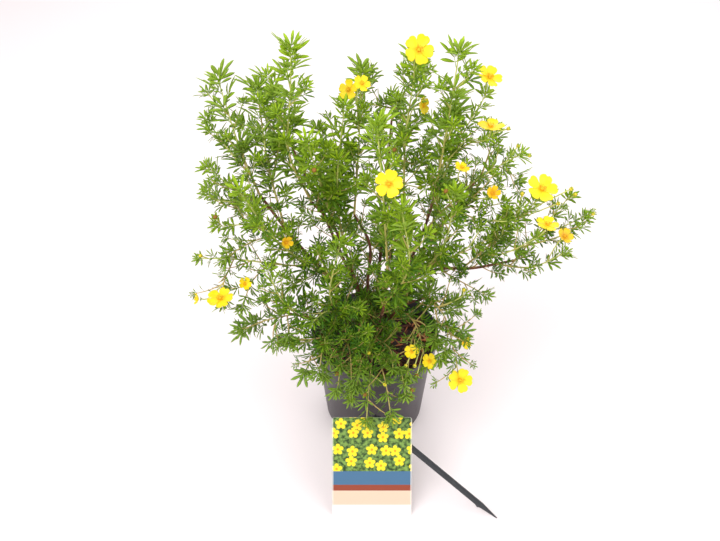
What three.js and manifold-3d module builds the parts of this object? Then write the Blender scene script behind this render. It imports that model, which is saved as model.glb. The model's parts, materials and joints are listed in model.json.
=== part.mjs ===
// Potted shrubby cinquefoil: a nursery pot of bark mulch with a woody framework, leafy sprays and
// yellow blooms, and the plant's card label, which leans on its stake in front of the pot.
// Millimetres, +Z up, origin at the centre of the pot's base. -Y is the front, where the label stands.
import * as THREE from 'three';
import { mergeVertices } from 'three/addons/utils/BufferGeometryUtils.js';
import Module from 'manifold-3d';

const wasm = await Module();
wasm.setup();

// Driving dimensions of the pot and its filling
const GAP = 0.3;
const POT_HEIGHT = 140;
const RIM_RADIUS = 85;
const COLLAR_RADIUS = 82;
const COLLAR_BOTTOM = 113;
const WALL_TOP_RADIUS = 77.5;
const BASE_RADIUS = 67.3;
const POT_WALL = 1.8;
const POT_FLOOR = 2.4;
const POT_SEGMENTS = 32;
const DRAIN_HOLES = 8;
const DRAIN_RADIUS = 4;
const DRAIN_CIRCLE = 54;
const DRAIN_SIDES = 8;
const MULCH_LEVEL = 123;
const MULCH_RELIEF = 2.4;
const BARK_CHIPS = 10;
const CROWN_TOP = 134;
const CROWN_BOTTOM = 62;
const CROWN_RADIUS = 11;
const CROWN_SIDES = 8;

// Driving dimensions of the plant
const WOOD_SIDES = 5;
const GREEN_SIDES = 3;
const GREEN_TIP_RADIUS = 1.0;
const STEM_RADIUS = 0.85;
const STEM_RADIUS_PER_SIZE = 0.025;
const STRETCH = 60;
const LEAF_HALF_THICKNESS = 1.1;
const PETIOLE_ROOT = 0.7;
const PETIOLE_SHARE = 0.42;
const LARGE_LEAF = 20;
const STALK_RADIUS = 0.9;
const STALK_NECK = 1.5;
const HEAD_DROP = { bloom: 2.6, spent: 2 };
const HEAD_TIP = { bloom: 0.7, spent: 2 };
const PETAL_HALF_THICKNESS = 1.0;
const CALYX_RADIUS = 6.5;
const PLACING_TRIES = 14;
const GOLDEN_ANGLE = THREE.MathUtils.degToRad(137.5);

// Driving dimensions of the label and its stake
const LABEL_WIDTH = 100;
const LABEL_LENGTH = 127.5;
const LABEL_THICKNESS = 0.8;
const LABEL_FOOT = [-5, -190.4, 0];
const LABEL_LEAN = THREE.MathUtils.degToRad(58);
const STAKE_WIDTH = 8.5;
const STAKE_THICKNESS = 2.4;
const STAKE_HEAD = [-3, -116.5, 102];
const STAKE_TIP = [153, -196, 1.05];
const STAKE_PAD = 10;
const STAKE_PAD_SHARE = 0.03;

const materials = {
  pot: finish('pot_plastic', 0x4b474b, 0.55),
  mulch: finish('bark_mulch', 0x4a2a1c, 0.95),
  wood: finish('brown_bark', 0x7a4630, 0.85),
  leaf: finish('green_leaf', 0x6d9a2e, 0.6),
  petal: finish('yellow_petal', 0xffdc05, 0.55),
  card: finish('label_card', 0xdfe3da, 0.45),
  stake: finish('stake_plastic', 0x3b3c40, 0.6),
};

// Woody stems, from the crown outwards: each point is where the bark-covered stem passes
const WOOD = {
  left: { radius: 3.1, route: [[0, 0, 112], [-12, -2, 150], [-46, -5, 217], [-98, -15, 303], [-138, 0, 359]] },
  innerLeft: { radius: 2.8, route: [[0, 0, 112], [-8, 2, 150], [-28, 5, 232], [-52, 10, 305], [-78, 0, 350]] },
  centre: { radius: 2.6, route: [[0, 0, 112], [-4, 2, 160], [-10, 0, 224], [-8, 8, 280], [-27, 13, 322]] },
  rightCentre: { radius: 2.6, route: [[0, 0, 112], [4, 3, 160], [14, 6, 240], [26, 8, 300], [32, 10, 345]] },
  right: { radius: 2.6, route: [[0, 0, 112], [10, 1, 150], [34, 0, 235], [57, 0, 305], [69, 0, 368]] },
  rightLow: {
    radius: 2.7,
    route: [[0, 0, 112], [14, -2, 160], [44, -5, 232], [80, 0, 247], [120, -2, 250], [172, -5, 265]],
  },
  frontRight: { radius: 2, route: [[0, 0, 112], [9, -8, 150], [32, -25, 205], [60, -47, 240]] },
  front: { radius: 2.3, route: [[0, 0, 112], [2, -12, 150], [6, -40, 200], [10, -64, 250], [12, -74, 300]] },
  frontLeft: {
    radius: 2.3,
    route: [[0, 0, 112], [-8, -10, 145], [-32, -36, 180], [-72, -60, 215], [-110, -74, 240]],
  },
  backLeft: { radius: 2.6, route: [[0, 0, 112], [-8, 12, 150], [-35, 42, 210], [-78, 85, 300], [-108, 112, 360]] },
  back: { radius: 2.5, route: [[0, 0, 112], [1, 14, 150], [6, 45, 220], [14, 92, 320], [20, 122, 390]] },
  backRight: { radius: 2.5, route: [[0, 0, 112], [9, 11, 150], [42, 40, 205], [95, 82, 268], [140, 112, 318]] },
};

// Green sprays: the first stem grows on a woody stem, at a share of its length, and the others fork
// from the first one. A stem has the points it passes on the way to its tip, its number of leaves and
// the length of their leaflets; heads are blooms and spent flowers.
const SPRAYS = [
  {
    name: 'spray_left_tip',
    on: 'left',
    at: 1,
    stems: [
      { route: [[-160, 25, 408], [-182, 60, 474]], leaves: 4, size: 26 },
      { fork: 0.17, route: [[-176, 34, 402], [-200, 58, 425]], leaves: 2, size: 20 },
    ],
  },
  {
    name: 'spray_left_high',
    on: 'left',
    at: 0.83,
    stems: [
      { route: [[-128, 18, 395], [-138, 60, 464]], leaves: 4, size: 26 },
      { fork: 0.34, route: [[-114, 32, 420], [-119, 52, 464]], leaves: 2, size: 21 },
    ],
  },
  {
    name: 'spray_left_tallest',
    on: 'innerLeft',
    at: 1,
    stems: [{ route: [[-101, 8, 409], [-96, 18, 490], [-94, 20, 531]], leaves: 6, size: 27 }],
  },
  {
    name: 'spray_left_inner',
    on: 'innerLeft',
    at: 0.79,
    stems: [{ route: [[-64, -15, 380], [-76, -45, 455]], leaves: 5, size: 25 }],
    heads: [{ kind: 'spent', at: [-69, -60, 431], from: 0.6 }],
  },
  {
    name: 'spray_centre_left',
    on: 'innerLeft',
    at: 0.65,
    stems: [
      { route: [[-48, 22, 350], [-38, 28, 456]], leaves: 5, size: 24 },
      { fork: 0.3, route: [[-46, -15, 380], [-44, -34, 425]], leaves: 3, size: 21 },
    ],
  },
  {
    name: 'spray_centre_tall',
    on: 'centre',
    at: 1,
    stems: [{ route: [[-22, 38, 395], [-18, 70, 480]], leaves: 5, size: 24 }],
    heads: [
      { kind: 'bloom', at: [-33, 60, 464], face: [-0.4, -0.7, 0.6], width: 24, from: 0.72 },
      { kind: 'bloom', at: [-18, 40, 482], face: [0.3, -0.6, 0.75], width: 20, from: 0.6 },
    ],
  },
  {
    name: 'spray_front_tall',
    on: 'front',
    at: 1,
    stems: [{ route: [[6, -68, 390], [-2, -50, 476]], leaves: 5, size: 27 }],
  },
  {
    name: 'spray_right_centre_tall',
    on: 'rightCentre',
    at: 1,
    stems: [{ route: [[33, 28, 425], [44, 50, 507]], leaves: 5, size: 27 }],
    heads: [
      { kind: 'bloom', at: [43, 28, 528], face: [0.2, -0.8, 0.55], width: 33, from: 0.86 },
      { kind: 'bloom', at: [51, 24, 463], face: [0.8, -0.5, 0.3], width: 20, from: 0.5 },
      { kind: 'spent', at: [19, 2, 419], from: 0.28 },
    ],
  },
  {
    name: 'spray_right_tall',
    on: 'right',
    at: 1,
    stems: [{ route: [[78, 10, 445], [86, 20, 525]], leaves: 6, size: 27 }],
  },
  {
    name: 'spray_right_high',
    on: 'right',
    at: 0.83,
    stems: [
      { route: [[92, 20, 415], [122, 36, 470]], leaves: 3, size: 18 },
      { fork: 0.52, route: [[108, 14, 422], [126, 10, 428]], leaves: 2, size: 15 },
    ],
    heads: [
      { kind: 'bloom', at: [124, 38, 491], face: [0.3, -0.45, 0.85], width: 29, from: 1 },
      { kind: 'bloom', at: [127, 10, 444], face: [0, 0.1, 1], width: 31, from: 1, stem: 1 },
    ],
  },
  {
    name: 'spray_right_upper',
    on: 'right',
    at: 0.76,
    stems: [
      { route: [[112, 2, 375], [162, 0, 415]], leaves: 4, size: 18 },
      { fork: 0.45, route: [[116, -18, 366], [126, -26, 372]], leaves: 2, size: 15 },
      { fork: 0.3, route: [[118, -30, 345], [150, -44, 352]], leaves: 3, size: 16 },
    ],
    heads: [
      { kind: 'bloom', at: [129, -36, 385], face: [0.1, -0.7, 0.7], width: 16, from: 1, stem: 1 },
      { kind: 'bloom', at: [95, -14, 405], face: [0.3, -0.1, 0.95], width: 18, from: 0.5 },
    ],
  },
  {
    name: 'spray_right_bloom',
    on: 'rightLow',
    at: 0.75,
    stems: [
      { route: [[150, -18, 315], [184, -28, 372]], leaves: 4, size: 18 },
      { fork: 0.23, route: [[150, -46, 308], [182, -56, 338]], leaves: 3, size: 15 },
    ],
    heads: [
      { kind: 'bloom', at: [185, -30, 387], face: [0.15, -0.4, 0.9], width: 36, from: 1 },
      { kind: 'bloom', at: [191, -56, 356], face: [0.1, 0, 1], width: 27, from: 1, stem: 1 },
    ],
  },
  {
    name: 'spray_right_far',
    on: 'rightLow',
    at: 1,
    stems: [
      { route: [[204, 4, 312], [226, 0, 355]], leaves: 4, size: 16 },
      { fork: 0.23, route: [[225, -8, 306], [250, -10, 328]], leaves: 3, size: 15 },
    ],
  },
  {
    name: 'spray_right_outer',
    on: 'rightLow',
    at: 0.91,
    stems: [{ route: [[188, -32, 276], [222, -38, 302]], leaves: 4, size: 16 }],
    heads: [{ kind: 'bloom', at: [216, -46, 332], face: [0.3, -0.4, 0.85], width: 20, from: 0.75 }],
  },
  {
    name: 'spray_right_low',
    on: 'rightLow',
    at: 0.64,
    stems: [{ route: [[112, -16, 236], [138, -20, 222]], leaves: 3, size: 16 }],
  },
  {
    name: 'spray_front_right',
    on: 'frontRight',
    at: 1,
    stems: [
      { route: [[80, -66, 232], [96, -90, 185], [103, -100, 150]], leaves: 3, size: 14 },
      { fork: 0.39, route: [[100, -74, 208], [106, -68, 198]], leaves: 2, size: 15 },
      { fork: 0.16, route: [[92, -62, 247], [106, -60, 256]], leaves: 2, size: 13 },
    ],
    heads: [
      { kind: 'bloom', at: [103, -104, 155], face: [0.1, -0.8, 0.55], width: 31, from: 1 },
      { kind: 'bloom', at: [108, -75, 191], face: [0.6, -0.6, 0.5], width: 16, from: 1, stem: 1 },
    ],
  },
  {
    name: 'spray_rim_right',
    on: 'frontRight',
    at: 0.67,
    stems: [
      { route: [[50, -66, 208], [62, -88, 166]], leaves: 4, size: 15 },
      { fork: 0.33, route: [[58, -66, 214], [74, -80, 196]], leaves: 2, size: 14 },
    ],
    heads: [
      { kind: 'bloom', at: [65, -92, 176], face: [0.35, -0.6, 0.7], width: 20, from: 0.9 },
      { kind: 'bloom', at: [43, -88, 188], face: [-0.1, -0.5, 0.85], width: 18, from: 0.5 },
      { kind: 'spent', at: [50, -101, 160], from: 0.8 },
    ],
  },
  {
    name: 'spray_rim_front',
    on: 'front',
    at: 0.28,
    stems: [
      { route: [[-4, -78, 176], [-9, -112, 148], [-12, -134, 116]], leaves: 5, size: 15 },
      { fork: 0.38, route: [[-26, -100, 160], [-32, -118, 134]], leaves: 3, size: 14 },
      { fork: 0.24, route: [[26, -92, 176], [36, -116, 142]], leaves: 4, size: 15 },
    ],
    heads: [
      { kind: 'spent', at: [-14, -120, 146], from: 0.75 },
      { kind: 'spent', at: [44, -118, 152], from: 0.85, stem: 2 },
    ],
  },
  {
    name: 'spray_rim_front_left',
    on: 'frontLeft',
    at: 0.32,
    stems: [
      { route: [[-40, -78, 182], [-48, -108, 142]], leaves: 4, size: 16 },
      { fork: 0.34, route: [[-18, -80, 208], [-12, -94, 226]], leaves: 3, size: 16 },
    ],
  },
  {
    name: 'spray_rim_left',
    on: 'frontLeft',
    at: 0.53,
    stems: [
      { route: [[-74, -74, 184], [-88, -88, 154]], leaves: 4, size: 16 },
      { fork: 0.3, route: [[-84, -86, 204], [-94, -102, 212]], leaves: 3, size: 16 },
    ],
  },
  {
    name: 'spray_left_low',
    on: 'frontLeft',
    at: 0.94,
    stems: [
      { route: [[-138, -70, 222], [-164, -62, 200]], leaves: 4, size: 18 },
      { fork: 0.28, route: [[-126, -78, 206], [-122, -74, 184]], leaves: 2, size: 15 },
    ],
  },
  {
    name: 'spray_left_bloom',
    on: 'left',
    at: 0.58,
    stems: [
      { route: [[-112, -38, 284], [-165, -50, 302], [-212, -32, 289]], leaves: 4, size: 14 },
      { fork: 0.7, route: [[-180, -68, 280], [-181, -86, 262]], leaves: 2, size: 13 },
      { fork: 0.44, route: [[-148, -64, 278], [-158, -84, 256]], leaves: 3, size: 15 },
    ],
    heads: [
      { kind: 'bloom', at: [-181, -93, 278], face: [-0.05, -0.1, 1], width: 31, from: 1, stem: 1 },
      { kind: 'bloom', at: [-154, -74, 284], face: [0.2, -0.6, 0.75], width: 15, from: 0.5, stem: 2 },
      { kind: 'bloom', at: [-208, -84, 270], face: [-0.9, -0.3, 0.3], width: 13, from: 0.5, stem: 1 },
    ],
  },
  {
    name: 'spray_left_side',
    on: 'left',
    at: 0.7,
    stems: [
      { route: [[-142, -22, 330], [-186, -34, 338]], leaves: 4, size: 18 },
      { fork: 0.35, route: [[-150, -40, 318], [-176, -58, 310]], leaves: 3, size: 16 },
    ],
    heads: [{ kind: 'spent', at: [-185, -42, 357], from: 0.95 }],
  },
  {
    name: 'spray_left_outer',
    on: 'left',
    at: 0.92,
    stems: [
      { route: [[-168, 2, 366], [-196, 8, 392]], leaves: 4, size: 19 },
      { fork: 0.29, route: [[-178, -18, 362], [-198, -20, 372]], leaves: 2, size: 16 },
    ],
  },
  {
    name: 'spray_left_front',
    on: 'left',
    at: 0.5,
    stems: [{ route: [[-112, -62, 335], [-146, -88, 420]], leaves: 5, size: 21 }],
    heads: [{ kind: 'bloom', at: [-104, -66, 339], face: [0.4, -0.7, 0.5], width: 14, from: 0.45 }],
  },
  {
    name: 'spray_front_left',
    on: 'frontLeft',
    at: 0.75,
    stems: [{ route: [[-106, -92, 268], [-122, -106, 328]], leaves: 5, size: 19 }],
  },
  {
    name: 'spray_front_left_tall',
    on: 'frontLeft',
    at: 0.36,
    stems: [{ route: [[-55, -74, 262], [-42, -86, 352]], leaves: 5, size: 21 }],
  },
  {
    name: 'spray_front_centre',
    on: 'front',
    at: 0.7,
    stems: [{ route: [[34, -100, 330], [24, -108, 410]], leaves: 5, size: 24 }],
    heads: [{ kind: 'bloom', at: [10, -92, 434], face: [-0.15, -0.75, 0.6], width: 30, from: 0.9 }],
  },
  {
    name: 'spray_front_right_tall',
    on: 'rightLow',
    at: 0.47,
    stems: [
      { route: [[76, -50, 320], [84, -64, 402]], leaves: 4, size: 21 },
      { fork: 0.3, route: [[104, -50, 318], [118, -48, 345]], leaves: 3, size: 17 },
    ],
    heads: [{ kind: 'spent', at: [72, -72, 412], from: 0.9 }],
  },
  {
    name: 'spray_back_left',
    on: 'backLeft',
    at: 1,
    stems: [
      { route: [[-122, 122, 410], [-132, 122, 448]], leaves: 4, size: 24 },
      { fork: 0.24, route: [[-146, 124, 378], [-170, 120, 385]], leaves: 2, size: 20 },
    ],
  },
  {
    name: 'spray_back_centre',
    on: 'back',
    at: 1,
    stems: [
      { route: [[34, 128, 422], [48, 128, 458]], leaves: 4, size: 24 },
      { fork: 0.22, route: [[-12, 136, 408], [-34, 138, 418]], leaves: 2, size: 20 },
    ],
  },
  {
    name: 'spray_back_right',
    on: 'backRight',
    at: 1,
    stems: [
      { route: [[148, 120, 346], [152, 122, 376]], leaves: 4, size: 21 },
      { fork: 0.18, route: [[168, 118, 322], [186, 112, 310]], leaves: 2, size: 18 },
    ],
  },
  {
    name: 'spray_back_right_mid',
    on: 'backRight',
    at: 0.59,
    stems: [
      { route: [[88, 104, 340], [98, 112, 428]], leaves: 4, size: 21 },
      { fork: 0.3, route: [[92, 128, 290], [100, 146, 270]], leaves: 2, size: 18 },
    ],
  },
  {
    name: 'spray_back_low',
    on: 'back',
    at: 0.34,
    stems: [
      { route: [[12, 90, 232], [14, 128, 230]], leaves: 3, size: 18 },
      { fork: 0.34, route: [[-48, 104, 242], [-96, 118, 248]], leaves: 4, size: 19 },
    ],
  },
];

function finish(name, color, roughness) {
  return new THREE.MeshStandardMaterial({ name, color, roughness, metalness: 0 });
}

// One repeatable stream of draws in 0..1
function randomStream(seed) {
  let state = seed;
  return () => {
    state = (state + 0x6d2b79f5) | 0;
    let mixed = Math.imul(state ^ (state >>> 15), 1 | state);
    mixed = (mixed + Math.imul(mixed ^ (mixed >>> 7), 61 | mixed)) ^ mixed;
    return ((mixed ^ (mixed >>> 14)) >>> 0) / 4294967296;
  };
}

function vector(point) {
  return new THREE.Vector3(...point);
}

function signedVolume(position, index) {
  const [a, b, c] = [new THREE.Vector3(), new THREE.Vector3(), new THREE.Vector3()];
  let volume = 0;
  for (let i = 0; i < index.length; i += 3) {
    a.fromBufferAttribute(position, index[i]);
    b.fromBufferAttribute(position, index[i + 1]);
    c.fromBufferAttribute(position, index[i + 2]);
    volume += a.dot(b.cross(c)) / 6;
  }
  return volume;
}

// A closed geometry becomes a solid: shared vertices are merged and the faces turned outwards
function solidOf(geometry) {
  geometry.deleteAttribute('normal');
  geometry.deleteAttribute('uv');
  const welded = mergeVertices(geometry, 1e-4);
  const all = welded.index.array;
  const kept = [];
  for (let i = 0; i < all.length; i += 3) {
    const [a, b, c] = [all[i], all[i + 1], all[i + 2]];
    if (a !== b && b !== c && c !== a) kept.push(a, b, c);
  }
  const position = welded.attributes.position;
  if (signedVolume(position, kept) < 0) kept.reverse();
  const mesh = new wasm.Mesh({
    numProp: 3,
    vertProperties: new Float32Array(position.array),
    triVerts: new Uint32Array(kept),
  });
  return new wasm.Manifold(mesh);
}

function meshOf(name, solid, material) {
  const { vertProperties, triVerts } = solid.getMesh();
  const geometry = new THREE.BufferGeometry();
  geometry.setAttribute('position', new THREE.BufferAttribute(new Float32Array(vertProperties), 3));
  geometry.setIndex(new THREE.BufferAttribute(new Uint32Array(triVerts), 1));
  geometry.computeVertexNormals();
  const mesh = new THREE.Mesh(geometry, material);
  mesh.name = name;
  return mesh;
}

function polyhedron(points, triangles) {
  const geometry = new THREE.BufferGeometry();
  const flat = points.flatMap((point) => [point.x, point.y, point.z]);
  geometry.setAttribute('position', new THREE.BufferAttribute(new Float32Array(flat), 3));
  geometry.setIndex(triangles.flat());
  return geometry;
}

function turned(profile, segments) {
  const points = profile.map(([radius, height]) => new THREE.Vector2(radius, height));
  return solidOf(new THREE.LatheGeometry(points, segments).rotateX(Math.PI / 2));
}

// A smooth route through its points, taken in straight stretches, so that what grows on it meets it
function stretchesThrough(points, stretch) {
  const smooth = new THREE.CatmullRomCurve3(points, false, 'centripetal');
  const count = Math.max(2, Math.round(smooth.getLength() / stretch));
  const corners = smooth.getSpacedPoints(count);
  const path = new THREE.CurvePath();
  for (let i = 0; i < count; i += 1) path.add(new THREE.LineCurve3(corners[i], corners[i + 1]));
  return path;
}

// The rings and side faces of a flat-sided tube along a curve, from its first radius to its last
function tubeRings(curve, segments, firstRadius, lastRadius, sides) {
  const frames = curve.computeFrenetFrames(segments, false);
  const points = [];
  const triangles = [];
  for (let ring = 0; ring <= segments; ring += 1) {
    const share = ring / segments;
    const centre = curve.getPointAt(share);
    const radius = THREE.MathUtils.lerp(firstRadius, lastRadius, share);
    for (let side = 0; side < sides; side += 1) {
      const angle = (2 * Math.PI * side) / sides;
      const across = frames.normals[ring].clone().multiplyScalar(radius * Math.cos(angle));
      points.push(across.addScaledVector(frames.binormals[ring], radius * Math.sin(angle)).add(centre));
    }
  }
  for (let ring = 0; ring < segments; ring += 1) {
    for (let side = 0; side < sides; side += 1) {
      const here = ring * sides + side;
      const beside = ring * sides + ((side + 1) % sides);
      triangles.push([here, beside, beside + sides], [here, beside + sides, here + sides]);
    }
  }
  return { points, triangles };
}

function taperedTube(curve, segments, firstRadius, lastRadius, sides) {
  const { points, triangles } = tubeRings(curve, segments, firstRadius, lastRadius, sides);
  const last = segments * sides;
  for (let side = 1; side < sides - 1; side += 1) {
    triangles.push([0, side + 1, side], [last, last + side, last + side + 1]);
  }
  return solidOf(polyhedron(points, triangles));
}

// A frame at a point with X along forward and Z as near to up as it can be
function frameAt(origin, forward, up) {
  const x = forward.clone().normalize();
  const y = up.clone().cross(x).normalize();
  const z = x.clone().cross(y);
  return new THREE.Matrix4().makeBasis(x, y, z).setPosition(origin);
}

// A frame at a point with Z along facing, for blooms
function facingFrame(origin, facing) {
  const turn = new THREE.Quaternion().setFromUnitVectors(new THREE.Vector3(0, 0, 1), facing.clone().normalize());
  return new THREE.Matrix4().compose(origin, turn, new THREE.Vector3(1, 1, 1));
}

function polar(radius, degrees, height) {
  const angle = THREE.MathUtils.degToRad(degrees);
  return new THREE.Vector3(radius * Math.cos(angle), radius * Math.sin(angle), height);
}

// A thin star closed by two alike fans, from a raised and a lowered middle to one shared outline
function starBlade(outline, halfThickness, frame) {
  const count = outline.length;
  const points = [...outline, new THREE.Vector3(0, 0, halfThickness), new THREE.Vector3(0, 0, -halfThickness)];
  const triangles = [];
  for (let i = 0; i < count; i += 1) {
    const next = (i + 1) % count;
    triangles.push([count, i, next], [count + 1, next, i]);
  }
  return solidOf(polyhedron(points.map((point) => point.applyMatrix4(frame)), triangles));
}

// A leaf of three or five leaflets, the lowest pair narrower, on a stalk that ends inside its stem
function leafBlade(size, droop, stalk, frame) {
  const large = size >= LARGE_LEAF;
  const spread = large ? [-86, -43, 0, 43, 86] : [-58, 0, 58];
  const shares = large ? [0.72, 0.94, 1, 0.94, 0.72] : [0.86, 1, 0.86];
  const step = (spread[1] - spread[0]) / 2;
  const point = (share, degrees) => polar(size * share, degrees, -droop * size * share * share);
  const outline = [point(0.1, spread[0] - 36)];
  spread.forEach((angle, i) => {
    const [tip, isLowest] = [shares[i], Math.abs(angle) > 80];
    if (!isLowest) outline.push(point(0.6 * tip, angle - 13.5));
    outline.push(point(tip, angle));
    if (!isLowest) outline.push(point(0.6 * tip, angle + 13.5));
    outline.push(i < spread.length - 1 ? point(0.15, angle + step) : point(0.1, angle + 36));
  });
  outline.push(new THREE.Vector3(-stalk, 0, 0));
  return starBlade(outline, LEAF_HALF_THICKNESS, frame);
}

// Five broad petals, notched where they meet, cupped a little round a low dome of stamens
function bloomSolid(head, random) {
  const radius = head.width / 2;
  const frame = facingFrame(vector(head.at), vector(head.face));
  const [eyeRadius, eyeHeight, domeHeight] = [0.2 * radius, 0.14 * radius, 0.24 * radius];
  const edge = [[-36, 0.42], [-24, 0.84], [-10, 1], [10, 1], [24, 0.84]];
  const points = [new THREE.Vector3(0, 0, domeHeight), new THREE.Vector3(0, 0, -PETAL_HALF_THICKNESS)];
  const triangles = [];
  const [eye, rim] = [2, 7];
  for (let petal = 0; petal < 5; petal += 1) points.push(polar(eyeRadius, petal * 72 - 36, eyeHeight));
  for (let petal = 0; petal < 5; petal += 1) {
    const lift = 0.16 + 0.12 * random();
    edge.forEach(([degrees, share]) => points.push(polar(radius * share, petal * 72 + degrees, radius * share * lift)));
    const [here, next] = [eye + petal, eye + ((petal + 1) % 5)];
    const first = rim + petal * edge.length;
    const corner = (step) => rim + ((petal * edge.length + step) % (5 * edge.length));
    triangles.push([0, here, next], [here, first, first + 1], [here, first + 1, first + 2]);
    triangles.push([here, first + 2, next], [next, first + 2, first + 3], [next, first + 3, first + 4]);
    triangles.push([next, first + 4, corner(5)]);
    for (let step = 0; step < 5; step += 1) triangles.push([1, corner(step + 1), corner(step)]);
  }
  return solidOf(polyhedron(points.map((point) => point.applyMatrix4(frame)), triangles));
}

// The outline of a calyx, or of a spent flower whose sepals have closed, round the end of its stalk
function headOutline(head) {
  const [radius, lift] = head.kind === 'spent' ? [5, 1] : [Math.min(CALYX_RADIUS, head.width * 0.2), 0.1];
  return [0, 1, 2, 3, 4].flatMap((sepal) => [
    polar(radius * 0.45, sepal * 72 - 36, radius * 0.45 * lift),
    polar(radius, sepal * 72, radius * lift),
  ]);
}

// A thin flower stalk that leaves its stem steeply, bends over and widens into its head, in one solid
function stalkAndHead(head, path) {
  const start = path.getPointAt(head.from);
  const facing = head.face ? vector(head.face).normalize() : vector(head.at).sub(start).normalize();
  const drop = HEAD_DROP[head.kind];
  const end = vector(head.at).addScaledVector(facing, -drop - STALK_NECK);
  const reach = start.distanceTo(end) * 0.4;
  const bend = new THREE.QuadraticBezierCurve3(start, end.clone().addScaledVector(facing, -reach), end);
  const tube = tubeRings(bend, 2, STALK_RADIUS, STALK_RADIUS, 3);
  const frame = facingFrame(vector(head.at).addScaledVector(facing, -drop), facing);
  const outline = headOutline(head).map((point) => point.applyMatrix4(frame));
  const tip = new THREE.Vector3(0, 0, HEAD_TIP[head.kind]).applyMatrix4(frame);
  const points = [...tube.points, ...outline, tip];
  const [neck, rim, top] = [tube.points.length - 3, tube.points.length, points.length - 1];
  const triangles = [...tube.triangles, [0, 2, 1]];
  const count = outline.length;
  const nearest = outline.map((point) => {
    const distances = [0, 1, 2].map((side) => points[neck + side].distanceTo(point));
    return distances.indexOf(Math.min(...distances));
  });
  for (let i = 0; i < count; i += 1) {
    const next = (i + 1) % count;
    triangles.push([top, rim + i, rim + next]);
    triangles.push([neck + nearest[i], rim + next, rim + i]);
    if (nearest[i] !== nearest[next]) triangles.push([neck + nearest[i], neck + nearest[next], rim + next]);
  }
  return solidOf(polyhedron(points, triangles));
}

function boxesMeet(first, second) {
  const apart = (axis) => first.min[axis] > second.max[axis] || second.min[axis] > first.max[axis];
  return !(apart(0) || apart(1) || apart(2));
}

// What is already in place, kept as small solids with their boxes
class Placed {
  constructor() {
    this.items = [];
  }

  add(solid, owner) {
    this.items.push({ solid, owner, box: solid.boundingBox() });
  }

  // A piece is blocked where it meets anything but what its own owner keeps free for it
  blocks(solid, owner) {
    const box = solid.boundingBox();
    return this.items.some((item) => {
      if (item.owner === owner || !boxesMeet(box, item.box)) return false;
      return item.solid.intersect(solid).volume() > 0;
    });
  }
}

function buildPot() {
  const slope = (WALL_TOP_RADIUS - BASE_RADIUS) / COLLAR_BOTTOM;
  const profile = [
    [0, 0],
    [BASE_RADIUS - 1.5, 0],
    [BASE_RADIUS, 1.5],
    [WALL_TOP_RADIUS, COLLAR_BOTTOM],
    [COLLAR_RADIUS, COLLAR_BOTTOM + 0.8],
    [RIM_RADIUS - 0.6, POT_HEIGHT - 1.2],
    [RIM_RADIUS, POT_HEIGHT],
    [RIM_RADIUS - POT_WALL - 0.4, POT_HEIGHT],
    [COLLAR_RADIUS - POT_WALL, COLLAR_BOTTOM + 3],
    [WALL_TOP_RADIUS - POT_WALL, COLLAR_BOTTOM - 2],
    [BASE_RADIUS + slope * POT_FLOOR - POT_WALL, POT_FLOOR],
    [0, POT_FLOOR],
  ];
  let pot = turned(profile, POT_SEGMENTS);
  for (let hole = 0; hole < DRAIN_HOLES; hole += 1) {
    const angle = (2 * Math.PI * (hole + 0.5)) / DRAIN_HOLES;
    const drill = new THREE.CylinderGeometry(DRAIN_RADIUS, DRAIN_RADIUS, 3 * POT_FLOOR, DRAIN_SIDES)
      .rotateX(Math.PI / 2);
    drill.translate(DRAIN_CIRCLE * Math.cos(angle), DRAIN_CIRCLE * Math.sin(angle), POT_FLOOR / 2);
    pot = pot.subtract(solidOf(drill));
  }
  return pot;
}

function mulchHeight(x, y) {
  const waves = Math.sin(x / 11 + 0.6) * Math.cos(y / 13) + 0.5 * Math.sin((x + 2 * y) / 9);
  return MULCH_LEVEL + MULCH_RELIEF * waves;
}

// The filling's outer wall, a gap inside the pot's inner wall
function mulchBody() {
  const slope = (WALL_TOP_RADIUS - BASE_RADIUS) / COLLAR_BOTTOM;
  const bottom = POT_FLOOR + GAP;
  const collar = (RIM_RADIUS - COLLAR_RADIUS) / (POT_HEIGHT - COLLAR_BOTTOM);
  const top = MULCH_LEVEL - 4;
  const side = [
    [BASE_RADIUS + slope * bottom - POT_WALL - 2 * GAP, bottom],
    [WALL_TOP_RADIUS - POT_WALL - 2 * GAP, COLLAR_BOTTOM - 2],
    [COLLAR_RADIUS - POT_WALL - 2 * GAP, COLLAR_BOTTOM + 3 + GAP],
    [COLLAR_RADIUS - POT_WALL - 2 * GAP + collar * (top - COLLAR_BOTTOM - 3), top],
  ];
  const rim = side[3][0];
  const rings = [rim, 62, 34];
  const rows = side.map(([radius, height]) => ({ radius, height: () => height }));
  rings.slice(1).forEach((radius) => rows.push({ radius, height: mulchHeight }));
  const points = [];
  rows.forEach(({ radius, height }) => {
    for (let i = 0; i < POT_SEGMENTS; i += 1) {
      const angle = (2 * Math.PI * i) / POT_SEGMENTS;
      const [x, y] = [radius * Math.cos(angle), radius * Math.sin(angle)];
      points.push(new THREE.Vector3(x, y, height(x, y)));
    }
  });
  const triangles = [];
  for (let row = 0; row < rows.length - 1; row += 1) {
    for (let i = 0; i < POT_SEGMENTS; i += 1) {
      const here = row * POT_SEGMENTS + i;
      const beside = row * POT_SEGMENTS + ((i + 1) % POT_SEGMENTS);
      triangles.push([here, beside, beside + POT_SEGMENTS], [here, beside + POT_SEGMENTS, here + POT_SEGMENTS]);
    }
  }
  const foot = points.push(new THREE.Vector3(0, 0, bottom)) - 1;
  const peak = points.push(new THREE.Vector3(0, 0, mulchHeight(0, 0))) - 1;
  const lastRow = (rows.length - 1) * POT_SEGMENTS;
  for (let i = 0; i < POT_SEGMENTS; i += 1) {
    const next = (i + 1) % POT_SEGMENTS;
    triangles.push([foot, next, i], [peak, lastRow + i, lastRow + next]);
  }
  return solidOf(polyhedron(points, triangles));
}

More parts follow.
